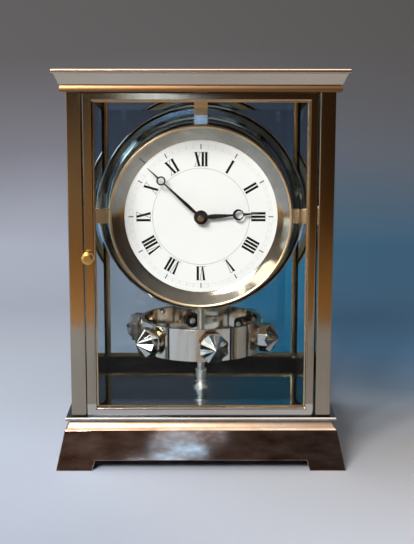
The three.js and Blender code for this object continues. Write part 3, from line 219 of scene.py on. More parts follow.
grainBump = {"Strength": 0.03, "Distance": 0.0001}


def plateMetal(name, look):
    material, tree, shader = startMaterial(name)
    aged = addNode(tree, "ShaderNodeGroup", node_tree=tarnish, inputs={
        "Clean": (*look["clean"], 1), "Tarnished": (*look["tarnished"], 1), "Amount": look["amount"],
        "Cloud Size": look["cloudSize"], "Roughness": look["roughness"], "Streak": look.get("streak", (1, 1, 1))})
    if "zones" in look:
        linkZones(tree, aged, look)
    tree.links.new(aged.outputs["Color"], shader.inputs["Base Color"])
    tree.links.new(aged.outputs["Roughness"], shader.inputs["Roughness"])
    shader.inputs["Metallic"].default_value = 1
    bump = addNode(tree, "ShaderNodeBump", inputs=grainBump)
    tree.links.new(aged.outputs["Height"], bump.inputs["Height"])
    tree.links.new(bump.outputs[0], shader.inputs["Normal"])
    return material


casePlate = dict(clean=(0.41, 0.35, 0.265), tarnished=(0.25, 0.17, 0.1), amount=0.5, cloudSize=22, roughness=0.07,
                 streak=(1.6, 1.6, 0.35))
metalLooks = {
    "caseNickelBrass": casePlate,
    # its zone is the door's bottom rail, painted lighter and greyer as a painted reflection of the pale floor in front
    "doorNickelBrass": dict(casePlate, zones=[
        dict(range=(0.03, 0.0385), roughness=0.09, clean=(0.64, 0.58, 0.51), tarnished=(0.5, 0.43, 0.35))]),
    # painted shade: the back frame's nickel brass, about half as dark as the case's, for the shade inside the case
    "shadedRearNickelBrass": dict(clean=(0.21, 0.17, 0.135), tarnished=(0.1, 0.065, 0.04), amount=0.6, cloudSize=30,
                            roughness=0.06, streak=(1, 1, 0.6)),
    # its zones are the gilt band under the slope and the edge of the cap
    "corniceNickel": dict(clean=(0.63, 0.54, 0.42), tarnished=(0.46, 0.35, 0.24), amount=0.5, cloudSize=26,
                          roughness=0.1, streak=(0.4, 1.2, 1.2), zones=[
        dict(range=(0.2, 0.2263), roughness=0.3, clean=(0.25, 0.135, 0.062), tarnished=(0.15, 0.074, 0.028)),
        dict(range=(0.2325, 0.2348), roughness=0.2, clean=(0.6, 0.46, 0.37), tarnished=(0.38, 0.23, 0.17))]),
    "darkNickel": dict(clean=(0.42, 0.375, 0.345), tarnished=(0.24, 0.16, 0.11), amount=0.6, cloudSize=34,
                       roughness=0.05),
    # its zone is the brow over the slope
    "plinthPlate": dict(clean=(0.66, 0.57, 0.52), tarnished=(0.22, 0.09, 0.05), amount=1, cloudSize=72, roughness=0.0,
                        streak=(0.6, 1, 1.4), zones=[
        dict(range=(0.0234, 0.0284), roughness=0.26, clean=(0.74, 0.54, 0.39), tarnished=(0.42, 0.27, 0.17))]),
    # its blue tint is a painted reflection of the blue backdrop seen through the back glass; its zone is the floor
    # plate's edge
    "floorMirror": dict(clean=(0.26, 0.34, 0.42), tarnished=(0.17, 0.21, 0.24), amount=0.5, cloudSize=30,
                        roughness=0.03, zones=[
        dict(range=(0.0296, 0.0309), roughness=0.12, clean=(0.62, 0.55, 0.47), tarnished=(0.4, 0.3, 0.22))]),
    "gildedBrass": dict(clean=(0.8, 0.6, 0.33), tarnished=(0.46, 0.31, 0.14), amount=0.4, cloudSize=60, roughness=0.14),
    "knobBrass": dict(clean=(0.74, 0.46, 0.15), tarnished=(0.42, 0.23, 0.06), amount=0.6, cloudSize=90, roughness=0.24),
    # its zone is the bezel's outer rim
    "bezelPlating": dict(clean=(0.7, 0.61, 0.48), tarnished=(0.46, 0.36, 0.25), amount=0.7, cloudSize=60,
                         roughness=0.07, zones=[
        dict(radial=True, range=(0.0542, 0.07), roughness=0.28, clean=(0.88, 0.62, 0.37), tarnished=(0.62, 0.4, 0.2))]),
    # its zone is the foot of the top arm, which mirrors a window; its blue-white colour is a painted reflection of that
    # window
    "carrierBrass": dict(clean=(0.88, 0.68, 0.44), tarnished=(0.62, 0.44, 0.25), amount=0.4, cloudSize=50,
                         roughness=0.28, zones=[
        dict(range=(0.2, 0.2073), roughness=0.05, clean=(0.78, 0.92, 1.0), tarnished=(0.66, 0.82, 0.97))]),
    "polishedNickel": dict(clean=(0.8, 0.76, 0.69), tarnished=(0.52, 0.44, 0.35), amount=0.3, cloudSize=60,
                           roughness=0.04),
    "lockNickel": dict(clean=(1.0, 0.97, 0.91), tarnished=(0.78, 0.7, 0.58), amount=0.3, cloudSize=90, roughness=0.36),
    "ringNickel": dict(clean=(1.0, 0.92, 0.78), tarnished=(0.72, 0.47, 0.28), amount=1, cloudSize=85, roughness=0.06,
                       streak=(1, 1, 0.12)),
    # its blue tint is a painted reflection of the grey-blue room, and its zones, the flange's lip and the shoulder
    # inside it, are blue-white painted highlights
    "darkDrum": dict(clean=(0.36, 0.5, 0.64), tarnished=(0.08, 0.1, 0.12), amount=0.8, cloudSize=30,
                     roughness=0.07, zones=[
        dict(radial=True, range=(0.0653, 0.07), roughness=0.12, clean=(0.86, 0.9, 0.93), tarnished=(0.5, 0.5, 0.48)),
        dict(radial=True, range=(0.0562, 0.0608), roughness=0.1, clean=(0.75, 0.88, 0.95), tarnished=(0.4, 0.46, 0.5)),
    ]),
}
metals = {name: plateMetal(name, look) for name, look in metalLooks.items()}


def cloudyPaint(name, look):
    # enamel, lacquer or ink: one colour drifts into another, and the gloss drifts with it
    material, tree, shader = startMaterial(name)
    cloud = noiseNode(tree, objectPlace(tree), look["scale"], look["detail"])
    tint = mixColours(tree, cloud, *[(*colour, 1) for colour in look["colours"]])
    tree.links.new(tint, shader.inputs["Base Color"])
    rough = mathNode(tree, "ADD", mathNode(tree, "MULTIPLY", cloud, look["drift"]), look["roughness"])
    tree.links.new(rough, shader.inputs["Roughness"])
    shader.inputs["Specular IOR Level"].default_value = look.get("specular", 0.5)
    return material


def inkLook(colour, roughness, specular=0.5):
    # it drifts into a slightly paler shade of itself
    lighter = tuple(c * 1.8 + 0.004 for c in colour)
    return dict(colours=(colour, lighter), scale=300, detail=3, drift=0.15, roughness=roughness, specular=specular)


paintLooks = {
    "dialEnamel": dict(colours=((0.93, 0.925, 0.905), (0.885, 0.87, 0.84)), scale=45, detail=4, drift=0.12,
                       roughness=0.34),
    "handLacquer": inkLook((0.004, 0.004, 0.006), 0.2),
    "dialPrint": inkLook((0.002, 0.002, 0.002), 0.5, 0.1),
    "dialFinePrint": inkLook((0.3, 0.3, 0.31), 0.45),
    # black for the ring's seams and the weights' nut faces, and for the painted shadow ring on the drum's flange
    "seamAndShadowBlack": inkLook((0.003, 0.003, 0.004), 0.35, 0.3),
}
paints = {name: cloudyPaint(name, look) for name, look in paintLooks.items()}

smearLook = dict(scale=38, detail=4, roughness=0.6, edge=(0.55, 0.9), dust=0.02, shade=0.95)
clearTint = (0.97, 0.98, 0.98, 1)


def bevelledGlass(name, look):
    material, tree, shader = startMaterial(name)
    place = objectPlace(tree)
    smears = noiseNode(tree, place, smearLook["scale"], smearLook["detail"], smearLook["roughness"])
    clean, dusty = smearLook["edge"]
    dust = rampNode(tree, smears, [(clean, (0, 0, 0)), (dusty, (smearLook["dust"],) * 3)])
    tree.links.new(dust, shader.inputs["Roughness"])
    colour = mixColours(tree, smears, (*look["tint"], 1), (*[smearLook["shade"] * c for c in look["tint"]], 1))
    spot = splitPlace(tree, place)
    for paintedArea in look.get("paintedLightAreas", ()):
        # painted light and shade: the pane's tint drifts over part of its width or height
        share = 1
        for axis, (start, end) in paintedArea["over"].items():
            ends = {"From Min": start, "From Max": end}
            drift = addNode(tree, "ShaderNodeMapRange", interpolation_type="SMOOTHSTEP", inputs=ends)
            tree.links.new(spot[axis], drift.inputs["Value"])
            share = mathNode(tree, "MULTIPLY", drift.outputs[0], share)
        colour = mixColours(tree, share, colour, (*paintedArea["tint"], 1))
    tree.links.new(colour, shader.inputs["Base Color"])
    shader.inputs["Metallic"].default_value = 0
    shader.inputs["IOR"].default_value = 1.5
    shader.inputs["Specular Tint"].default_value = (*(look["sheen"],) * 3, 1)
    shader.inputs["Transmission Weight"].default_value = 1
    path = addNode(tree, "ShaderNodeLightPath").outputs
    showThrough(tree, shader, mathNode(tree, "MAXIMUM", path["Is Shadow Ray"], path["Is Diffuse Ray"]), clearTint)
    return material


glassLooks = {
    "doorGlass": dict(on=("door_glass",), tint=(0.86, 0.9, 0.92), sheen=0.12),
    # painted light and shade: bluer low on the right, a painted blue from the backdrop, and darker at the top, a
    # painted shade
    "backGlass": dict(on=("back_glass",), tint=(0.58, 0.68, 0.73), sheen=0.4, paintedLightAreas=[
        dict(tint=(0.15, 0.72, 0.95), over=dict(X=(-0.01, 0.045), Z=(0.18, 0.11))),
        dict(tint=(0.2, 0.27, 0.35), over=dict(Z=(0.12, 0.175)))]),
    "sideGlass": dict(on=("left_glass", "right_glass", "expansion_tube"), tint=(0.7, 0.77, 0.79), sheen=0.7),
}
for glassName, look in glassLooks.items():
    glass = bevelledGlass(glassName, look)
    for node in look["on"]:
        nodes[node].data.materials.clear()
        nodes[node].data.materials.append(glass)
print("materials made")


# Mesh helpers, in millimetres and degrees. From sharpEdge on, an edge is shaded sharp and can be eased.
sharpEdge = 30


def shadeMesh(mesh, sharpAngle):
    work = bmesh.new()
    work.from_mesh(mesh)
    bmesh.ops.recalc_face_normals(work, faces=work.faces)
    for face in work.faces:
        face.smooth = True
    for edge in work.edges:
        edge.smooth = len(edge.link_faces) == 2 and edge.calc_face_angle(0) < math.radians(sharpAngle)
    work.to_mesh(mesh)
    work.free()


def meshFrom(name, points, faces, sharpAngle=sharpEdge):
    mesh = bpy.data.meshes.new(name)
    mesh.from_pydata([Vector(p) * mm for p in points], [], faces)
    shadeMesh(mesh, sharpAngle)
    return mesh


def joined(parts):
    points, faces = [], []
    for partPoints, partFaces in parts:
        base = len(points)
        points += partPoints
        faces += [tuple(i + base for i in face) for face in partFaces]
    return points, faces


def addPiece(name, mesh, material, body, replaced=(), bevel=0, segments=2):
    piece = bpy.data.objects.new(name, mesh)
    bpy.context.scene.collection.objects.link(piece)
    mesh.materials.clear()
    mesh.materials.append(material)
    if bevel:
        soften = piece.modifiers.new("softEdge", "BEVEL")
        soften.width = bevel * mm
        soften.segments = segments
        soften.limit_method = "ANGLE"
        soften.angle_limit = math.radians(sharpEdge)
        soften.harden_normals = True
        soften.use_clamp_overlap = True
    flats = piece.modifiers.new("flatFaces", "WEIGHTED_NORMAL")
    flats.keep_sharp = True
    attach(piece, body)
    if replaced:
        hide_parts(*replaced)


def addFitting(name, parts, material, onNode, sharpAngle=sharpEdge):
    # a fitting rides with the node it sits on and takes the material it is given
    mesh = meshFrom(name, *joined(parts), sharpAngle)
    addPiece(name, mesh, material, nodes[onNode]["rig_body"])


def turned(point, angle):
    x, y, z = point
    c, s = math.cos(angle), math.sin(angle)
    return (x * c - y * s, x * s + y * c, z)


def prismFaces(n):
    # the faces of a block whose points are one outline and then the other
    ends = [tuple(range(n)), tuple(range(n, 2 * n))]
    return ends + [(i, (i + 1) % n, (i + 1) % n + n, i + n) for i in range(n)]


def hoopFaces(stations, n):
    # the faces of a closed hoop whose points are an outline at each station
    faces = []
    for k in range(stations):
        k2 = (k + 1) % stations
        for i in range(n):
            i2 = (i + 1) % n
            faces.append((k * n + i, k * n + i2, k2 * n + i2, k2 * n + i))
    return faces


def circlePoints(radius, sides):
    turns = [2 * math.pi * k / sides for k in range(sides)]
    return [(radius * math.cos(a), radius * math.sin(a)) for a in turns]


finishLook = dict(merge=0.002, flatAngle=1)


def finishedNode(node, material, bevel, segments=2, sharpAngle=sharpEdge):
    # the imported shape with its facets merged, its turned faces smooth and its edges eased
    source = nodes[node]
    work = bmesh.new()
    work.from_mesh(source.data)
    bmesh.ops.remove_doubles(work, verts=work.verts, dist=finishLook["merge"] * mm)
    flat = math.radians(finishLook["flatAngle"])
    bmesh.ops.dissolve_limit(work, angle_limit=flat, verts=work.verts, edges=work.edges)
    mesh = bpy.data.meshes.new(node + "_finished")
    work.to_mesh(mesh)
    work.free()
    shadeMesh(mesh, sharpAngle)
    addPiece(node + "_finished", mesh, material, source["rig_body"], (node,), bevel, segments)


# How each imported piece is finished: its metal and the width of its eased edges
finishes = {
    "caseNickelBrass": dict(corner_post_front_left=0, corner_post_front_right=0, corner_post_back_left=0,
                            corner_post_back_right=0, right_frame=0.3, left_frame=0.3),
    "doorNickelBrass": dict(door_frame=0.45),
    "shadedRearNickelBrass": dict(back_frame=0.8),
    "corniceNickel": dict(cornice=0.25),
    "bezelPlating": dict(bezel=0.1),
    "plinthPlate": dict(base_plinth=0.65),
    "floorMirror": dict(floor_plate=0.15),
    "ringNickel": dict(pendulum_ring=0.15),
    "lockNickel": dict(lock_guide=0.1, lock_cup=0.1, pendulum_arbor=0.1),
    "darkNickel": dict(carrier_pillar_left=0.4, carrier_pillar_right=0.4, bridge_pillar_left=0.4,
                       bridge_pillar_right=0.4, rear_bridge=0.3, lock_lever=0.2),
    "carrierBrass": dict(movement_carrier=0.3),
    "darkDrum": dict(drum_front_shell=0.2, drum_back_shell=0.2),
    "knobBrass": dict(door_latch=0.1),
    "gildedBrass": dict(hinge_pin_lower=0.1, hinge_pin_upper=0.1, front_plate=0.15, rear_plate=0.15,
                        mainspring_barrel=0.1, centre_wheel=0, escape_wheel=0, minute_wheel=0, hour_wheel=0,
                        hand_nut=0.1, suspension_bracket=0.2, suspension_tube=0.1),
    "polishedNickel": dict(pallet_lever=0.1, cannon_pinion=0, drum_arbor=0.2, suspension_clamp=0.1, suspension_wire=0,
                           impulse_roller=0.1, pendulum_spokes=0.15),
}
for metalName, edges in finishes.items():
    for node, bevel in edges.items():
        finishedNode(node, metals[metalName], bevel)
weightCount = 6
for k in range(weightCount):
    # the star's facets stay crisp
    finishedNode(f"pendulum_weight_{k + 1}", metals["polishedNickel"], 0.1, segments=1, sharpAngle=8)
for node in ("hour_hand", "minute_hand"):
    finishedNode(node, paints["handLacquer"], 0.12)
finishedNode("dial", paints["dialEnamel"], 0.05)
print("packed pieces finished")


# The dial's print: Roman numerals of thick and hair strokes with their feet towards the centre, ticks and fine circles.
# A circle is (radius, width) and the hour's tick (half its width, inner radius, outer radius).
dialLook = dict(face=-23.0, thickness=0.05, sunk=0.02, numeralFoot=30.8, numeralTop=39.5, thick=1.48, hair=0.27,
                vWidth=2.4, xWidth=2.8, slant=0.6, vFoot=0.56, vLap=0.3, gap=0.62, serif=0.3, serifHeight=0.2,
                circle=(29.55, 0.28), trackIn=(41.9, 0.08), trackOut=(43.7, 0.08), circleSteps=120,
                hourTick=(0.28, 41.3, 44.3), minuteTickHalf=0.09)


def slab(low, high, inner, outer):
    return [(low, inner), (high, inner), (high, outer), (low, outer)]


def atClock(corners, turn):
    # (across, outwards) points of a mark at twelve, turned to their place on the dial
    across = Vector((math.cos(turn), -math.sin(turn)))
    out = Vector((math.sin(turn), math.cos(turn)))
    return [tuple(across * u + out * r) for u, r in corners]


def numeralStrokes(text, look):
    # each stroke's corners, u across and v from foot (0) to top (1), and half the numeral's width
    t, h = look["thick"], look["hair"]
    widths = {"I": t, "V": look["vWidth"] + t * look["slant"], "X": look["xWidth"] + t * look["slant"]}
    half = (sum(widths[c] for c in text) + look["gap"] * (len(text) - 1)) / 2
    strokes = []
    u = -half
    for c in text:
        w = widths[c]
        if c == "I":
            strokes.append([(u, 0), (u + t, 0), (u + t, 1), (u, 1)])
        elif c == "V":
            foot = u + w * look["vFoot"]
            strokes.append([(foot - t * look["vLap"], 0), (foot + h, 0), (u + t, 1), (u, 1)])
            strokes.append([(foot, 0), (foot + h, 0), (u + w, 1), (u + w - h, 1)])
        else:
            strokes.append([(u + w - t, 0), (u + w, 0), (u + t, 1), (u, 1)])
            strokes.append([(u, 0), (u + h, 0), (u + w, 1), (u + w - h, 1)])
        u += w + look["gap"]
    return strokes, half


def addPrint(name, quads, paint, look):
    # each quad of (x, z) points becomes a thin raised block on the dial, open towards the enamel
    back, front = look["face"] + look["sunk"], look["face"] - look["thickness"]
    faces = [(0, 1, 2, 3)] + [(k, k + 4, (k + 1) % 4 + 4, (k + 1) % 4) for k in range(4)]
    parts = [([(x, y, z + axisHeight) for y in (front, back) for x, z in quad], faces) for quad in quads]
    addPiece(name, meshFrom(name, *joined(parts)), paint, "case")


def addNumerals(look):
    foot, top, serif = look["numeralFoot"], look["numeralTop"], look["serifHeight"]
    tickHalf, tickIn, tickOut = look["hourTick"]
    quads = []
    numerals = ["XII", "I", "II", "III", "IIII", "V", "VI", "VII", "VIII", "IX", "X", "XI"]
    for hour, text in enumerate(numerals):
        strokes, half = numeralStrokes(text, look)
        marks = [[(u, foot + v * (top - foot)) for u, v in stroke] for stroke in strokes]
        marks += [slab(-half - look["serif"], half + look["serif"], r, r + serif) for r in (foot, top - serif)]
        marks.append(slab(-tickHalf, tickHalf, tickIn, tickOut))
        quads += [atClock(mark, math.radians(30 * hour)) for mark in marks]
    addPrint("dial_numerals", quads, paints["dialPrint"], look)


def addFinePrint(look):
    half, steps = look["minuteTickHalf"], look["circleSteps"]
    tick = slab(-half, half, look["trackIn"][0], look["trackOut"][0])
    quads = [atClock(tick, math.radians(6 * minute)) for minute in range(60) if minute % 5]
    for radius, width in (look["circle"], look["trackIn"], look["trackOut"]):
        for k in range(steps):
            a, b = (2 * math.pi * k / steps, 2 * math.pi * (k + 1) / steps)
            corners = ((a, radius), (b, radius), (b, radius + width), (a, radius + width))
            quads.append([(math.sin(angle) * r, math.cos(angle) * r) for angle, r in corners])
    addPrint("dial_fine_print", quads, paints["dialFinePrint"], look)


addNumerals(dialLook)
addFinePrint(dialLook)
print("dial printed")


# Strips: a rounded strip holds each pane in its frame from inside, mitred at the corners
stripLook = dict(width=2.5, depth=1.15, clearance=0.04,
                 outline=[(0, 0), (0, 1), (0.62, 1), (0.86, 0.84), (1, 0.45), (1, 0)])


def addPaneStrips(look):
    for node, angle in (("door_glass", 0), ("right_glass", 90), ("back_glass", 180), ("left_glass", 270)):
        low, high = [[v / mm for v in corner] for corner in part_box(node)]
        across = 0 if angle % 180 == 0 else 1
        half = (high[across] - low[across]) / 2
        halfHigh, middle = (high[2] - low[2]) / 2, (high[2] + low[2]) / 2
        inner = {0: high[1], 90: -low[0], 180: -low[1], 270: high[0]}[angle] + look["clearance"]
        points = []
        for sx, sz in ((-1, -1), (1, -1), (1, 1), (-1, 1)):
            for inwards, depth in look["outline"]:
                inset = inwards * look["width"]
                corner = (sx * (half - inset), inner + depth * look["depth"], middle + sz * (halfHigh - inset))
                points.append(turned(corner, math.radians(angle)))
        name = node.replace("_glass", "_glass_strip")
        addFitting(name, [(points, hoopFaces(4, len(look["outline"])))], metals["gildedBrass"], node)


# Seams: a black insert fills each seam of the pendulum's band
seamLook = dict(count=6, first=28.5, half=0.66, edge=0.12, front=-38.5, back=-37.55, low=58.2, high=78.2)


def addSeamInserts(look):
    h, edge, front, back = (look[key] for key in ("half", "edge", "front", "back"))
    outline = [(-h, back), (h, back), (h, front + edge), (h - edge, front), (edge - h, front), (-h, front + edge)]
    parts = []
    for k in range(look["count"]):
        angle = math.radians(look["first"] + 360 / look["count"] * k)
        points = [turned((x, y, z), angle) for z in (look["low"], look["high"]) for x, y in outline]
        parts.append((points, prismFaces(len(outline))))
    addFitting("ring_seam_inserts", parts, paints["seamAndShadowBlack"], "pendulum_ring")


# Drum trim: a black ring in its flange, a painted shadow for the dark line inside the flange's rolled lip, and two
# pressed ribs on its back, as outlines of (radius, y)
trimLook = dict(sides=96,
                flangeShadowRing=[(64.1, 15.95), (64.1, 15.6), (64.3, 15.45), (65.1, 15.45), (65.3, 15.6), (65.3, 15.95)],
                ribRadii=(24, 46), rib=[(-1.6, 46.45), (-0.9, 47.1), (0.9, 47.1), (1.6, 46.45)], ribSharp=50)


def addDrumTrim(look):
    def lathe(profile):
        turns = [2 * math.pi * k / look["sides"] for k in range(look["sides"])]
        points = [(r * math.sin(a), y, axisHeight + r * math.cos(a)) for a in turns for r, y in profile]
        return points, hoopFaces(look["sides"], len(profile))

    # painted shadow: a black ring where the flange shows a dark line inside its lip
    addFitting("drum_shadow_ring", [lathe(look["flangeShadowRing"])], paints["seamAndShadowBlack"], "drum_front_shell")
    ribs = [lathe([(radius + r, y) for r, y in look["rib"]]) for radius in look["ribRadii"]]
    addFitting("drum_back_ribs", ribs, metals["darkDrum"], "drum_back_shell", look["ribSharp"])


# Screws: a slotted head with a rounded edge, two domed halves on a short round foot. The shape's numbers are shares
# of its size. The slots start at slotFrom and turn on by slotStep, in radians, so that no two stand alike.
screwShape = dict(sides=24, arcSteps=10, slot=0.22, foot=0.35, slotFrom=0.6, slotStep=1.9,
                  dome=[(1, 0.3), (1, 0.55), (0.93, 0.8), (0.72, 0.95), (0.45, 1)])


def screwHead(place, axis, radius, height, slotTurn):
    out = Vector(axis).normalized()
    u = (Matrix.Rotation(slotTurn, 3, out) @ out.cross(Vector((0, 0, 1))).normalized()).normalized()
    v = out.cross(u)

    def spot(a, b, w):
        return tuple(Vector(place) + u * a + v * b + out * w)

    sides, n = screwShape["sides"], screwShape["arcSteps"] + 1
    points = [spot(a, b, w) for w in (0, height * screwShape["foot"]) for a, b in circlePoints(radius, sides)]
    faces = prismFaces(sides)
    dome = [(radius * r, height * w) for r, w in screwShape["dome"]]
    for half in (1, -1):
        base = len(points)
        for r, w in dome:
            start = math.asin(radius * screwShape["slot"] / 2 / r)
            for k in range(n):
                a = start + (math.pi - 2 * start) * k / (n - 1)
                points.append(spot(r * math.cos(a), half * r * math.sin(a), w))
        for layer in range(len(dome) - 1):
            low = base + layer * n
            faces += [(low + k, low + (k + 1) % n, low + n + (k + 1) % n, low + n + k) for k in range(n)]
        last = base + (len(dome) - 1) * n
        faces += [tuple(range(base, base + n)), tuple(range(last, last + n))]
    return points, faces


def fourAt(x, y, z):
    # the same place left and right, under and over the dial's axis
    return [(side * x, y, axisHeight + rise * z) for side in (-1, 1) for rise in (-1, 1)]


def roundAxis(count, first, radius, y):
    turns = [math.radians(first + 360 / count * k) for k in range(count)]
    return [(radius * math.sin(a), y, axisHeight + radius * math.cos(a)) for a in turns]


pillarPitch = 38 * math.sqrt(0.5)
screwLooks = {
    "bridge_screws": dict(on="rear_bridge", axis=(0, 1, 0), radius=1.9, height=1.1, places=fourAt(62, 51.5, 3.2)),
    "bracket_screws": dict(on="suspension_bracket", axis=(0, 1, 0), radius=1.4, height=0.8,
                           places=[(x, 4, 184.9) for x in (-5.8, 5.8)]),
    "plate_screws": dict(on="rear_plate", axis=(0, 1, 0), radius=1.9, height=1,
                         places=fourAt(pillarPitch, -4, pillarPitch)),
    "pillar_screws": dict(on="carrier_pillar_left", axis=(0, -1, 0), radius=1.6, height=0.9,
                          places=fourAt(68.95, -23, 5)),
    "flange_screws": dict(on="drum_back_shell", axis=(0, 1, 0), radius=1.3, height=0.8,
                          places=roundAxis(8, 22.5, 63.8, 19.1)),
}


def addScrews(name, look):
    heads = []
    for k, place in enumerate(look["places"]):
        slotTurn = screwShape["slotFrom"] + screwShape["slotStep"] * k
        heads.append(screwHead(place, look["axis"], look["radius"], look["height"], slotTurn))
    addFitting(name, heads, metals["polishedNickel"], look["on"])


# Inside the ring, each weight's screw ends in a dark nut with a bright head, the first at 10 degrees from the front
weightLook = dict(first=10, height=68.2, nutRadius=4.75, nutSides=24, nutFrom=-32.72, nutTo=-32.56, screwAt=-32.58,
                  screwRadius=1.9, screwHeight=1.1, slotFrom=0.4, slotStep=1.3)


def addWeightEnds(look):
    nuts, ends = [], []
    ring = circlePoints(look["nutRadius"], look["nutSides"])
    for k in range(weightCount):
        angle = math.radians(look["first"] + 360 / weightCount * k)
        layers = (look["nutFrom"], look["nutTo"])
        points = [turned((x, y, look["height"] + z), angle) for y in layers for x, z in ring]
        nuts.append((points, prismFaces(look["nutSides"])))
        place = turned((0, look["screwAt"], look["height"]), angle)
        slotTurn = look["slotFrom"] + look["slotStep"] * k
        ends.append(screwHead(place, turned((0, 1, 0), angle), look["screwRadius"], look["screwHeight"], slotTurn))
    addFitting("weight_nut_faces", nuts, paints["seamAndShadowBlack"], "pendulum_weight_1")
    addFitting("weight_screw_ends", ends, metals["lockNickel"], "pendulum_weight_1")


addPaneStrips(stripLook)
addSeamInserts(seamLook)
addDrumTrim(trimLook)
for name, look in screwLooks.items():
    addScrews(name, look)
addWeightEnds(weightLook)
print("fittings added")


# The stage, in metres: a pale sweep with a cool, darker pool behind the clock on its right, a painted shadow. Its
# colours run along the floor and up the wall, by y plus z, and darken towards the front and far up the wall as a
# painted falloff of the light.
stageLook = dict(
    front=-0.44, wallAt=0.75, curve=0.35, curveSteps=12, top=1.6, half=2.2, run=(-0.44, 1.2), paintedShadowPool=(-0.06, 0.13),
    cloudScale=3.1, cloudDetail=2, cloudDrift=0.12, roughness=0.9, specular=0.1, sharpAngle=60,
    left=[(-0.3, (0.3, 0.34, 0.41)), (-0.16, (0.33, 0.37, 0.45)), (-0.03, (0.41, 0.47, 0.57)),
          (0.22, (0.385, 0.432, 0.51)), (0.58, (0.34, 0.37, 0.45)), (0.81, (0.162, 0.165, 0.196)),
          (0.99, (0.099, 0.095, 0.097))],
    right=[(-0.3, (0.32, 0.345, 0.4)), (-0.16, (0.42, 0.445, 0.5)), (-0.03, (0.34, 0.345, 0.36)),
           (0.1, (0.14, 0.2, 0.27)), (0.22, (0.1, 0.215, 0.36)), (0.58, (0.045, 0.115, 0.19)),
           (0.81, (0.106, 0.12, 0.146)), (0.99, (0.099, 0.095, 0.097))],
)


def shareOf(tree, value, low, high):
    return mathNode(tree, "DIVIDE", mathNode(tree, "SUBTRACT", value, low), high - low, clamp=True)


def sweepPaper(look):
    material, tree, shader = startMaterial("sweepPaper")
    coordinates = objectPlace(tree)
    place = splitPlace(tree, coordinates)
    cloud = noiseNode(tree, coordinates, look["cloudScale"], look["cloudDetail"])
    drift = mathNode(tree, "MULTIPLY", mathNode(tree, "SUBTRACT", cloud, 0.5), look["cloudDrift"])
    low, high = look["run"]
    along = mathNode(tree, "ADD", mathNode(tree, "ADD", place["Y"], place["Z"]), drift)
    along = shareOf(tree, along, low, high)
    # the colours fall off towards the front and up the wall, a painted falloff of the light
    sides = []
    for side in ("left", "right"):
        stops = [((s - low) / (high - low), colour) for s, colour in look[side]]
        sides.append(rampNode(tree, along, stops))
    # painted shadow: the darker, blue pool behind the clock on its right
    paintedShadowPool = shareOf(tree, mathNode(tree, "ADD", place["X"], drift), *look["paintedShadowPool"])
    tree.links.new(mixColours(tree, paintedShadowPool, *sides), shader.inputs["Base Color"])
    shader.inputs["Roughness"].default_value = look["roughness"]
    shader.inputs["Specular IOR Level"].default_value = look["specular"]
    # the paper is see-through from behind, so that the clock can be looked at from any side
    showThrough(tree, shader, addNode(tree, "ShaderNodeNewGeometry").outputs["Backfacing"])
    return material


def addStage(look):
    curveFrom = look["wallAt"] - look["curve"]
    profile = [(look["front"], 0.0), (curveFrom, 0.0)]
    for k in range(1, look["curveSteps"] + 1):
        a = math.radians(90 * k / look["curveSteps"])
        profile.append((curveFrom + look["curve"] * math.sin(a), look["curve"] * (1 - math.cos(a))))
    profile.append((look["wallAt"], look["top"]))
    points = [(x / mm, y / mm, z / mm) for y, z in profile for x in (-look["half"], look["half"])]
    faces = [(2 * k, 2 * k + 1, 2 * k + 3, 2 * k + 2) for k in range(len(profile) - 1)]
    sweep = bpy.data.objects.new("sweep", meshFrom("sweep", points, faces, look["sharpAngle"]))
    bpy.context.scene.collection.objects.link(sweep)
    if sweep.data.polygons[0].normal.z < 0:
        sweep.data.flip_normals()
    sweep.data.materials.append(sweepPaper(look))


addStage(stageLook)


def addSoftbox(name, place, aim, size, power, colour):
    light = bpy.data.lights.new(name, "AREA")
    light.shape = "RECTANGLE"
    light.size, light.size_y = size
    light.energy = power
    light.color = colour
    lamp = bpy.data.objects.new(name, light)
    lamp.location = place
    lamp.rotation_euler = (Vector(aim) - Vector(place)).to_track_quat("-Z", "Y").to_euler()
    bpy.context.scene.collection.objects.link(lamp)


# The windows are faint lamps far in front, there to be mirrored by the top rail, the plinth's slope and the top arm
softboxes = {
    "keyBox": dict(place=(-0.5, -1.17, 0.95), aim=(0, 0, 0.12), size=(0.5, 0.5), power=29.5, colour=(1.0, 0.965, 0.93)),
    "topBox": dict(place=(0.0, -0.3, 1.5), aim=(0, 0, 0.1), size=(1.2, 0.8), power=7, colour=(1.0, 0.92, 0.84)),
    "railWindow": dict(place=(-0.1, -2.0, 0.165), aim=(-0.1, 0, 0.165), size=(0.13, 0.04), power=0.062,
                       colour=(0.62, 0.79, 1.0)),
    "plinthWindow": dict(place=(-0.0285, -2.0, 0.2615), aim=(0, 0, 0.02), size=(0.163, 0.047), power=0.016,
                         colour=(0.74, 0.86, 1.0)),
    "plinthPane": dict(place=(-0.05, -2.0, 0.2145), aim=(0, 0, 0.02), size=(0.12, 0.035), power=0.023,
                       colour=(0.42, 0.7, 1.0)),
    "creamBox": dict(place=(-1.0, -0.9, 0.85), aim=(0, 0, 0.14), size=(0.42, 0.42), power=1.6,
                     colour=(1.0, 0.93, 0.82)),
    "arcBox": dict(place=(-1.2, -0.6, 0.62), aim=(0, 0, 0.14), size=(0.16, 0.16), power=0.35, colour=(0.72, 0.9, 1.0)),
    "armWindow": dict(place=(0.0, -2.0, 0.112), aim=(0, 0, 0.112), size=(0.038, 0.026), power=0.005,
                      colour=(0.62, 0.8, 1.0)),
    "sideCard": dict(place=(-1.25, -0.33, 0.2), aim=(0, 0, 0.1), size=(0.8, 0.45), power=1.6, colour=(0.78, 0.91, 1.0)),
    "backBox": dict(place=(-1.0, 0.3, 0.9), aim=(0, 0.4, 0.1), size=(0.6, 0.6), power=4, colour=(0.9, 0.94, 1.0)),
}
for name, box in softboxes.items():
    addSoftbox(name, **box)

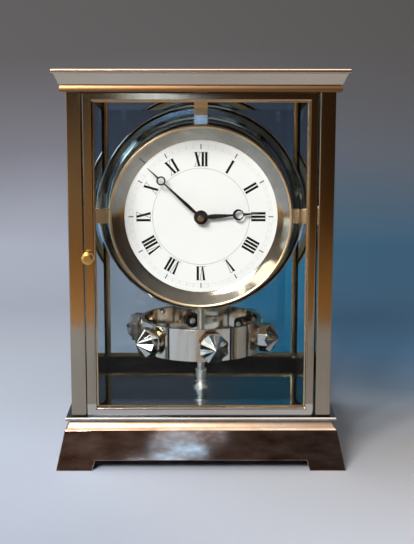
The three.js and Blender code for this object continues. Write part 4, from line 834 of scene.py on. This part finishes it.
# The room by rise, from straight down (0) over level (0.5) to straight up (1). What the metal mirrors is brown and
# dark, lighter and golden low down on the left. What is seen directly or through the glass is pale.
worldLook = dict(
    left=[(0.0, (0.3, 0.22, 0.14)), (0.36, (0.78, 0.5, 0.24)), (0.3995, (0.74, 0.4, 0.16)),
          (0.4166, (0.405, 0.21, 0.065)), (0.4507, (0.375, 0.26, 0.146)), (0.4847, (0.08, 0.05, 0.029)),
          (0.51, (0.03, 0.022, 0.018)), (0.54, (0.12, 0.088, 0.072)), (0.6, (0.14, 0.105, 0.09)),
          (0.72, (0.05, 0.05, 0.06)), (1.0, (0.35, 0.35, 0.37))],
    right=[(0.0, (0.22, 0.16, 0.1)), (0.36, (0.5, 0.28, 0.1)), (0.3995, (0.46, 0.23, 0.068)),
           (0.4166, (0.268, 0.133, 0.047)), (0.4336, (0.083, 0.042, 0.012)), (0.4507, (0.053, 0.025, 0.01)),
           (0.4847, (0.046, 0.024, 0.01)), (0.51, (0.025, 0.018, 0.014)), (0.54, (0.055, 0.042, 0.036)),
           (0.7, (0.045, 0.045, 0.055)), (1.0, (0.32, 0.32, 0.34))],
    seen=[(0.0, (0.55, 0.58, 0.66)), (0.49, (0.55, 0.58, 0.66)), (0.56, (0.3, 0.31, 0.35)), (1.0, (0.12, 0.12, 0.13))],
    asideSpread=5,
)


def addWorld(look):
    world = bpy.data.worlds.new("studio")
    bpy.context.scene.world = world
    world.use_nodes = True
    tree = world.node_tree
    direction = splitPlace(tree, addNode(tree, "ShaderNodeTexCoord").outputs["Generated"])
    rise = mathNode(tree, "ADD", mathNode(tree, "MULTIPLY", direction["Z"], 0.5), 0.5)
    aside = mathNode(tree, "ADD", mathNode(tree, "MULTIPLY", direction["X"], look["asideSpread"]), 0.5, clamp=True)
    room = mixColours(tree, aside, *[rampNode(tree, rise, look[side]) for side in ("left", "right")])
    path = addNode(tree, "ShaderNodeLightPath").outputs
    unreflected = mathNode(tree, "LESS_THAN", path["Glossy Depth"], 0.5)
    through = mathNode(tree, "MULTIPLY", path["Is Transmission Ray"], unreflected)
    direct = mathNode(tree, "MAXIMUM", path["Is Camera Ray"], through)
    background = tree.nodes["Background"].inputs
    tree.links.new(mixColours(tree, direct, room, rampNode(tree, rise, look["seen"])), background["Color"])
    background["Strength"].default_value = 1


addWorld(worldLook)

# The photograph's view: angles in radians but for the pitch, places in metres
cameraLook = dict(lens=76.7, sensor=36, place=(0.0, -0.728, 0.238), pitchDegrees=10.2, yaw=0.0053, roll=0.001)


def addCamera(look):
    camera = bpy.data.cameras.new("mainView")
    camera.lens = look["lens"]
    camera.sensor_width = look["sensor"]
    seat = bpy.data.objects.new("mainView", camera)
    bpy.context.scene.collection.objects.link(seat)
    pitch, yaw = math.radians(look["pitchDegrees"]), look["yaw"]
    forward = Vector((math.sin(yaw) * math.cos(pitch), math.cos(yaw) * math.cos(pitch), -math.sin(pitch)))
    seat.location = look["place"]
    level = forward.to_track_quat("-Z", "Y").to_matrix()
    seat.rotation_euler = (level @ Matrix.Rotation(look["roll"], 3, "Z")).to_euler()
    bpy.context.scene.camera = seat


addCamera(cameraLook)
bpy.context.scene.view_settings.view_transform = "Standard"
print("stage, lamps and camera set")
